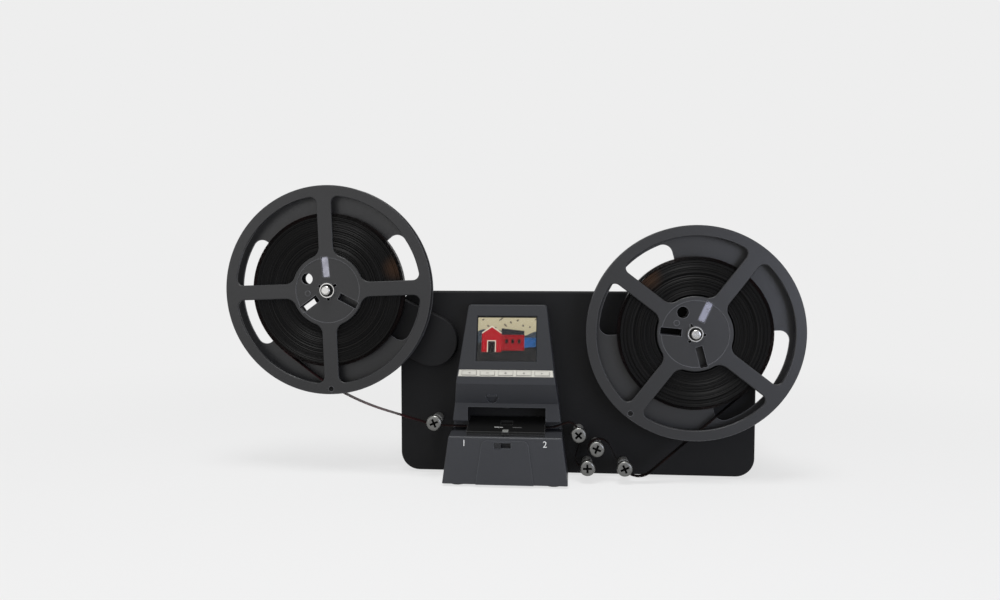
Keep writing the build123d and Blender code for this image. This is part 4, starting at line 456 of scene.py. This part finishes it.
STOPS = [
    (*SUPPLY, SUPPLY_PACK + PACK_GAP, 1), sag_stop(), round_roller(1, 1), from_gate(34.5, 25.0, 25.0, 1),
    from_gate(52.5, -2.0, 6.5, -1), round_roller(2, -1), from_gate(66.0, -25.5, 8.0, 1), round_roller(4, 1),
    from_gate(78.0, -18.8, 9.8, -1), round_roller(5, 1), from_gate(110.5, -24.9, 15.0, 1),
    (*TAKEUP, TAKEUP_PACK + PACK_GAP, 1),
]
line = film_line(STOPS)
# the film is parted under the first roller: the run from the supply reel is a band of its own
part = int(np.argmin(np.hypot(*(line - (ROLLERS[0] - (0, ROLLER_PATH))).T)))
threaded = film_band("threaded_film", line[part:])
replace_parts(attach(threaded, "chassis"), "film_threaded_run")
hanging = film_band("supply_film", line[:part + 1], FILM_RUN_LIT)
INSET, FILM_MIDDLE = 8, (FILM_BACK + FILM_FRONT) / 2
arm_side = in_row(line[0][0] + INSET, FILM_MIDDLE, line[0][1])
roller_side = in_row(line[part][0] - INSET, FILM_MIDDLE, line[part][1])
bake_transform(hanging)
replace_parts(hanging, "film_supply_run")


# The wound film

def wound_film(name, spot, outer, first_point, way, glow, seed, body, node):
    """A film pack: tight turns as a turned block whose face steps up and down by the film's uneven edges,
    and loose turns round it as one spiral, radius = outer - pitch * turns from its free end."""
    steps, round_steps, spiral_points, last_part = 73, 160, 900, 0.5
    uneven, swell, swell_radians, most, sunk = 0.05, 0.08, 19, 0.2, 0.26
    edges = np.random.default_rng(seed)
    core = outer - LOOSE_TURNS * TURN_PITCH
    ring = np.linspace(PACK_INNER, core, steps + 1)
    wave = swell * np.sin(np.linspace(0, swell_radians, steps))
    lift = np.clip(edges.normal(0.0, uneven, steps) + wave, -most, most)
    face = np.repeat(FILM_FRONT - sunk + lift, 2)
    profile = np.stack([np.repeat(ring, 2)[1:-1], face], axis=-1)
    closed = np.concatenate([[[PACK_INNER, FILM_BACK]], profile, [[core, FILM_BACK]]])
    edge_look = wound_edges(name + "_edges", spot, glow)
    block = lathe(name + "_core", spot, closed, edge_look, round_steps)
    turn = np.linspace(0, LOOSE_TURNS - last_part, spiral_points)
    angle = np.arctan2(first_point[1] - spot[1], first_point[0] - spot[0]) - way * 2 * np.pi * turn
    wander = uneven * np.sin(3 * angle + seed) * np.clip(turn, 0, 1)
    radius = outer - TURN_PITCH * turn + wander
    spiral = np.stack([spot[0] + radius * np.cos(angle), spot[1] + radius * np.sin(angle)], axis=-1)
    for made in (block, film_band(name + "_loose_turns", spiral)):
        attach(made, body)
    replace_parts(block, node)


# Spots of the painted brown highlight on the two packs, from each spindle.
SUPPLY_BROWN_HIGHLIGHT, TAKEUP_BROWN_HIGHLIGHT = (58, 19), (-38, 46)
wound_film("supply_roll", SUPPLY, SUPPLY_PACK, line[0], 1, SUPPLY_BROWN_HIGHLIGHT, 3,
           "supply_reel", "supply_film_pack")
wound_film("takeup_roll", TAKEUP, TAKEUP_PACK, line[-1], -1, TAKEUP_BROWN_HIGHLIGHT, 8,
           "takeup_reel", "takeup_film_pack")


# Rubber rings that keep the reels on their spindles

def ring_profile(radius, reach, thick):
    """A circle of the ring's thickness, drawn in radius and reach."""
    angle = np.linspace(0, 2 * np.pi, 16, endpoint=False)
    return np.stack([radius + thick * np.cos(angle), reach + thick * np.sin(angle)], axis=-1)


SLEEVE_FRONT, KEEPER_RADIUS, KEEPER_SEAT, KEEPER_THICK = 27.0, 4.75, 0.55, 0.62
for name, spot in (("supply", SUPPLY), ("takeup", TAKEUP)):
    section = ring_profile(KEEPER_RADIUS, SLEEVE_FRONT + KEEPER_SEAT, KEEPER_THICK)
    keeper = lathe(name + "_keeper_ring", spot, section, RUBBER, 64)
    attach(keeper, name + "_reel")


# Sloping faces: edges as (reach, z)

def slope(lower, upper):
    """Middle of a sloping face, its direction up the slope, and its outward normal, in reach and z."""
    lower, upper = np.array(lower), np.array(upper)
    up = (upper - lower) / np.linalg.norm(upper - lower)
    return (lower + upper) / 2, up, np.array([up[1], -up[0]])


STRIP = slope((32.0, 90.2), (29.0, 95.5))
SCREEN = slope((29.0, 95.5), (12.0, 149.1))
BASE_FRONT = slope((42.0, 2.0), (38.0, 41.0))
COVER_TOP = slope((34.0, 44.6), (5.63, 52.2))
TAB_TOP = slope((35.6, 44.52), (31.0, 45.75))


def on_slope(face, x, y, level):
    """Points on a sloping face: x from the console's middle, y up the slope, level above the face."""
    spot, up, out = face
    x, y, level = np.broadcast_arrays(np.asarray(x, float), y, level)
    return in_row(CONSOLE_X + x, spot[0] + y * up[0] + level * out[0], spot[1] + y * up[1] + level * out[1])


def flat_sign(name, face, outline, level, thick, material, body):
    """A flat sign on a sloping face, from its outline, with a low edge all round."""
    x, y = np.asarray(outline, float).T
    count = len(x)
    points = np.concatenate([on_slope(face, x, y, level), on_slope(face, x, y, level + thick)])
    ring = np.arange(count)
    sides = np.stack([ring, (ring + 1) % count, (ring + 1) % count + count, ring + count], axis=-1)
    faces = [ring[::-1].tolist(), (ring + count).tolist()] + sides.tolist()
    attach(piece(name, points, faces, material, smooth=False), body)


# Signs on the keys: arrows, a bar, a disc and a square, in thin ink
around = np.linspace(0, 2 * np.pi, 24, endpoint=False)
KEY_SIGNS = [
    [(1.1, 0.9), (-0.9, 0), (1.1, -0.9)],
    [(-1.2, -0.35), (1.2, -0.35), (1.2, 0.35), (-1.2, 0.35)],
    np.stack([0.95 * np.cos(around), 0.95 * np.sin(around)], axis=-1),
    [(-0.8, -0.8), (0.8, -0.8), (0.8, 0.8), (-0.8, 0.8)],
    [(-1.1, -0.9), (0.9, 0), (-1.1, 0.9)],
]
KEY_PITCH, KEY_PROUD, INK = 15.2, 0.8, 0.06
for number, outline in enumerate(KEY_SIGNS, 1):
    shifted = np.asarray(outline, float) + ((number - 3) * KEY_PITCH, 0)
    flat_sign(f"key_sign_{number}", STRIP, shifted, KEY_PROUD, INK, INK_KEY, f"key_{number}")


# Gate cover: two printed bars on its top and a pale cap with clipped corners on its lifting tab
BAR_LOW, BAR_HIGH = -7.2, -5.7
for name, x, half, ink in (("gate_mark_1", -6.2, 3.5, INK_PALE), ("gate_mark_2", 9.3, 3.7, INK_DIM)):
    bar = [(x - half, BAR_LOW), (x + half, BAR_LOW), (x + half, BAR_HIGH), (x - half, BAR_HIGH)]
    flat_sign(name, COVER_TOP, bar, 0.0, INK, ink, "gate_cover")
CAP = [(-1.9, -2.2), (1.9, -2.2), (2.4, -1.7), (2.4, 1.7),
       (1.9, 2.2), (-1.9, 2.2), (-2.4, 1.7), (-2.4, -1.7)]
CAP_THICK = 0.25
flat_sign("gate_tab_cap", TAB_TOP, CAP, 0.0, CAP_THICK, TAB_GREY, "gate_cover")


# A dark sheet of painted shade on the back and cheeks of the gate, above the slots that the film runs
# through

def niche_shade_lining():
    """A strip bent round three sides of the niche, carried up its height, with a thin wall."""
    half, back, front, bottom, top, thick = 32.95, 3.05, 20.5, 50.6, 62.5, 0.08
    x = CONSOLE_X + half * np.array([-1, -1, 1, 1])[:, None]
    reach = np.array([front, back, back, front])[:, None]
    points = in_row(x, reach, np.array([bottom, top]))
    strip = piece("gate_niche_shade_lining", points, grid_faces(4, 2).tolist(), NICHE_SHADE, smooth=False)
    wall = strip.modifiers.new("thickness", "SOLIDIFY")
    wall.thickness, wall.offset = thick * MM, 0
    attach(strip, "chassis")


niche_shade_lining()


# Numbers beside the format switch

def number_sign(name, text, x, y, height):
    """A numeral of plain type, flattened to a mesh and laid on the front of the base."""
    curve = bpy.data.curves.new(name, "FONT")
    curve.body, curve.align_x, curve.align_y = text, "CENTER", "CENTER"
    letter = bpy.data.objects.new(name + "_type", curve)
    bpy.context.scene.collection.objects.link(letter)
    bpy.context.view_layer.update()
    mesh = bpy.data.meshes.new_from_object(letter.evaluated_get(bpy.context.evaluated_depsgraph_get()))
    bpy.data.objects.remove(letter)
    flat = np.zeros(len(mesh.vertices) * 3)
    mesh.vertices.foreach_get("co", flat)
    flat = flat.reshape(-1, 3)
    scale = height / np.ptp(flat[:, 1])
    placed = on_slope(BASE_FRONT, x + flat[:, 0] * scale, y + flat[:, 1] * scale, INK)
    faces = [list(face.vertices) for face in mesh.polygons]
    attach(piece(name, placed, faces, INK_WHITE, smooth=False), "chassis")


NUMBER_UP, NUMBER_HEIGHT = 14.0, 5.0
number_sign("switch_number_1", "1", -34.0, NUMBER_UP, NUMBER_HEIGHT)
number_sign("switch_number_2", "2", 33.0, NUMBER_UP, NUMBER_HEIGHT)


# The screen's picture

def picture_colours(u, v):
    """A red barn by a lake at dusk: each area is painted over the ones behind it.
    u runs to the right and v up, both from 0 to 1."""
    barn_u, barn_half, wing_end, door_half, frame_half = 0.24, 0.17, 0.8, 0.06, 0.075
    picture = np.zeros(u.shape + (3,))

    def paint(area, code, light=1.0):
        shade = np.array(colour(code)[:3]) * np.broadcast_to(light, u.shape)[..., None]
        picture[area] = shade[area]

    ripple = np.sin(31 * u + 3 * np.sin(9 * v)) * np.sin(23 * v + 2 * np.sin(11 * u))
    paint(v >= 0, "#c9bd9d", 0.6 + 0.32 * v)
    paint((ripple > 0.8) & (v > 0.75), "#6d6457")
    paint(v < 0.66 + 0.06 * np.sin(6 * u + 0.4) + 0.02 * np.sin(21 * u), "#3b4148")
    paint((v < 0.54) & (u > 0.5), "#2a5a94", 0.8 + 0.3 * ripple)
    paint(v < 0.36 + 0.05 * np.cos(4 * u), "#272626", 0.75 + 0.3 * ripple)
    from_ridge = np.abs(u - barn_u)
    gable = 0.78 - 0.9 * from_ridge
    front = (from_ridge < barn_half) & (v > 0.2)
    side = (u > barn_u + barn_half) & (u < wing_end) & (v > 0.24)
    paint(side & (v < 0.78 - 0.15 * (u - barn_u)), "#26262a")
    paint(side & (v < 0.6), "#a0141d", 0.8 + 0.2 * np.sin(150 * u))
    paint(front & (v < gable + 0.03), "#e0d8c4")
    paint(front & (v < gable), "#b81a24", 0.85 + 0.15 * np.sin(130 * u))
    paint((from_ridge < frame_half) & (v > 0.2) & (v < 0.47), "#e0d8c4")
    paint((from_ridge < door_half) & (v > 0.2) & (v < 0.45), "#1c1514")
    paint((np.abs(np.mod(u, 0.11) - 0.055) < 0.025) & side & (v > 0.4) & (v < 0.5), "#1c1514")
    return picture


def screen_picture():
    """The picture panel: a fine grid of points, each with its own colour, on a flat back."""
    columns, rows = 160, 120
    width, height, drop, front, back = 56.0, 44.2, 1.3, -2.7, -5.6
    shown_w, shown_h, dark = 49.0, 36.8, 0.003
    x, y = np.linspace(-width / 2, width / 2, columns), np.linspace(-height / 2, height / 2, rows)
    face = on_slope(SCREEN, x[None, :], y[:, None] - drop, front).reshape(-1, 3)
    corner_x, corner_y = np.array([-1, 1, 1, -1]) * width / 2, np.array([-1, -1, 1, 1]) * height / 2
    rear = on_slope(SCREEN, corner_x, corner_y - drop, back)
    first = columns * rows
    bottom, top = np.arange(columns), np.arange(first - columns, first)
    left, right = np.arange(0, first, columns), np.arange(columns - 1, first, columns)
    faces = grid_faces(rows, columns).tolist()
    faces += [[first, first + 3, first + 2, first + 1], [first, first + 1, *bottom[::-1].tolist()],
              [first + 1, first + 2, *right[::-1].tolist()], [first + 2, first + 3, *top.tolist()],
              [first + 3, first, *left.tolist()]]
    points = np.concatenate([face, rear])
    made = piece("screen_picture", points, faces, PICTURE, smooth=False)
    u, v = np.meshgrid(x / shown_w + 0.5, y / shown_h + 0.5)
    inside = (np.abs(u - 0.5) <= 0.5) & (np.abs(v - 0.5) <= 0.5)
    stored = np.full((first + 4, 4), (dark, dark, dark, 1.0))
    stored[:first, :3] = np.where(inside[..., None], picture_colours(u, v), dark).reshape(-1, 3)
    attribute = made.data.color_attributes.new("picture", "FLOAT_COLOR", "POINT")
    attribute.data.foreach_set("color", stored.ravel())
    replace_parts(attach(made, "chassis"), "screen_panel")


screen_picture()


# Stage, light and camera

BACKDROP = "#eeeeee"


def seen(tree):
    """1 for the rays that show the background: from the camera, off a glossy face or through glass."""
    path = add(tree, "ShaderNodeLightPath").outputs
    mirrored = add(tree, "ShaderNodeMath", {0: path["Is Camera Ray"], 1: path["Is Glossy Ray"]},
                   operation="MAXIMUM")
    return add(tree, "ShaderNodeMath", {0: mirrored.outputs[0], 1: path["Is Transmission Ray"]},
               operation="MAXIMUM").outputs[0]


def stage():
    """A pale floor that takes the object's shadow and fades into an even pale backdrop with distance."""
    near, distant, half, near_share, near_level = 0.3, 0.9, 30.0, 0.7, 1.14
    shade, tree, shader = finish("pale_floor", "#c6c6c6", 0.9, Specular_IOR_Level=0.0)
    place = add(tree, "ShaderNodeTexCoord").outputs["Object"]
    away = add(tree, "ShaderNodeVectorMath", {0: place}, operation="LENGTH")

    def fade(near_value):
        return add(tree, "ShaderNodeMapRange", {
            "Value": away.outputs["Value"], "From Min": near, "From Max": distant,
            "To Min": near_value, "To Max": 1.0}, interpolation_type="SMOOTHSTEP").outputs["Result"]

    share = add(tree, "ShaderNodeMath", {0: fade(near_share), 1: seen(tree)}, operation="MULTIPLY")
    glow = add(tree, "ShaderNodeEmission", {"Color": colour(BACKDROP), "Strength": fade(near_level)})
    mixed = add(tree, "ShaderNodeMixShader", {
        0: share.outputs[0], 1: shader.outputs["BSDF"], 2: glow.outputs["Emission"]})
    tree.links.new(mixed.outputs["Shader"], tree.nodes["Material Output"].inputs["Surface"])
    mesh = bpy.data.meshes.new("floor")
    corners = [(-half, -half, 0), (half, -half, 0), (half, half, 0), (-half, half, 0)]
    mesh.from_pydata(corners, [], [(0, 1, 2, 3)])
    mesh.materials.append(shade)
    floor = bpy.data.objects.new("floor", mesh)
    bpy.context.scene.collection.objects.link(floor)


def studio():
    """The world: the backdrop for the rays that show it, and an even white light for the others."""
    light_level = 0.36
    world = bpy.data.worlds.new("studio")
    bpy.context.scene.world = world
    world.use_nodes = True
    tree = world.node_tree
    tree.nodes.clear()
    light = add(tree, "ShaderNodeBackground", {"Color": colour("#ffffff"), "Strength": light_level})
    backdrop = add(tree, "ShaderNodeBackground", {"Color": colour(BACKDROP), "Strength": 1.0})
    mixed = add(tree, "ShaderNodeMixShader", {
        0: seen(tree), 1: light.outputs["Background"], 2: backdrop.outputs["Background"]})
    add(tree, "ShaderNodeOutputWorld", {"Surface": mixed.outputs["Shader"]})


def softbox(name, place, aim, size, power, tint):
    """A round soft light at a place, turned to shine at its aim."""
    lamp = bpy.data.lights.new(name, "AREA")
    lamp.shape, lamp.size, lamp.energy, lamp.color = "DISK", size, power, colour(tint)[:3]
    made = bpy.data.objects.new(name, lamp)
    made.location = place
    made.rotation_euler = (Vector(place) - Vector(aim)).to_track_quat("Z", "Y").to_euler()
    bpy.context.scene.collection.objects.link(made)


def camera():
    """The photograph's view: in front of the fascia, a little above the middle and turned to the left."""
    x, reach, z, down_deg, left_deg, sensor_mm, focal_mm = 53.2, 700.0, 191.0, 3.15, 5.07, 36.0, 29.3
    lens = bpy.data.cameras.new("camera")
    lens.sensor_fit, lens.sensor_width, lens.lens = "HORIZONTAL", sensor_mm, focal_mm
    lens.clip_start, lens.clip_end = 0.05, 100.0
    made = bpy.data.objects.new("camera", lens)
    made.location = tuple(in_row(x, reach, z))
    made.rotation_euler = (radians(90 - down_deg), 0, radians(left_deg))
    bpy.context.scene.collection.objects.link(made)
    bpy.context.scene.camera = made


stage()
studio()
softbox("overhead_softbox", (0.0, -0.45, 1.3), (0, -0.06, 0.1), 0.5, 12.0, "#ffffff")
softbox("top_softbox", (-0.3, -1.1, 1.25), (0, 0, 0.1), 0.9, 2.4, "#ffffff")
softbox("front_softbox", (-0.2, -1.7, 0.6), (0, 0, 0.12), 1.4, 2.4, "#ffffff")
softbox("low_softbox", (0.65, -0.8, 0.06), (0.12, 0, 0.1), 0.6, 4.4, "#dfe7ff")
softbox("fill_softbox", (-0.7, -0.9, 0.1), (-0.15, 0, 0.14), 0.8, 1.6, "#ffffff")
camera()
bpy.context.scene.view_settings.view_transform = "Standard"
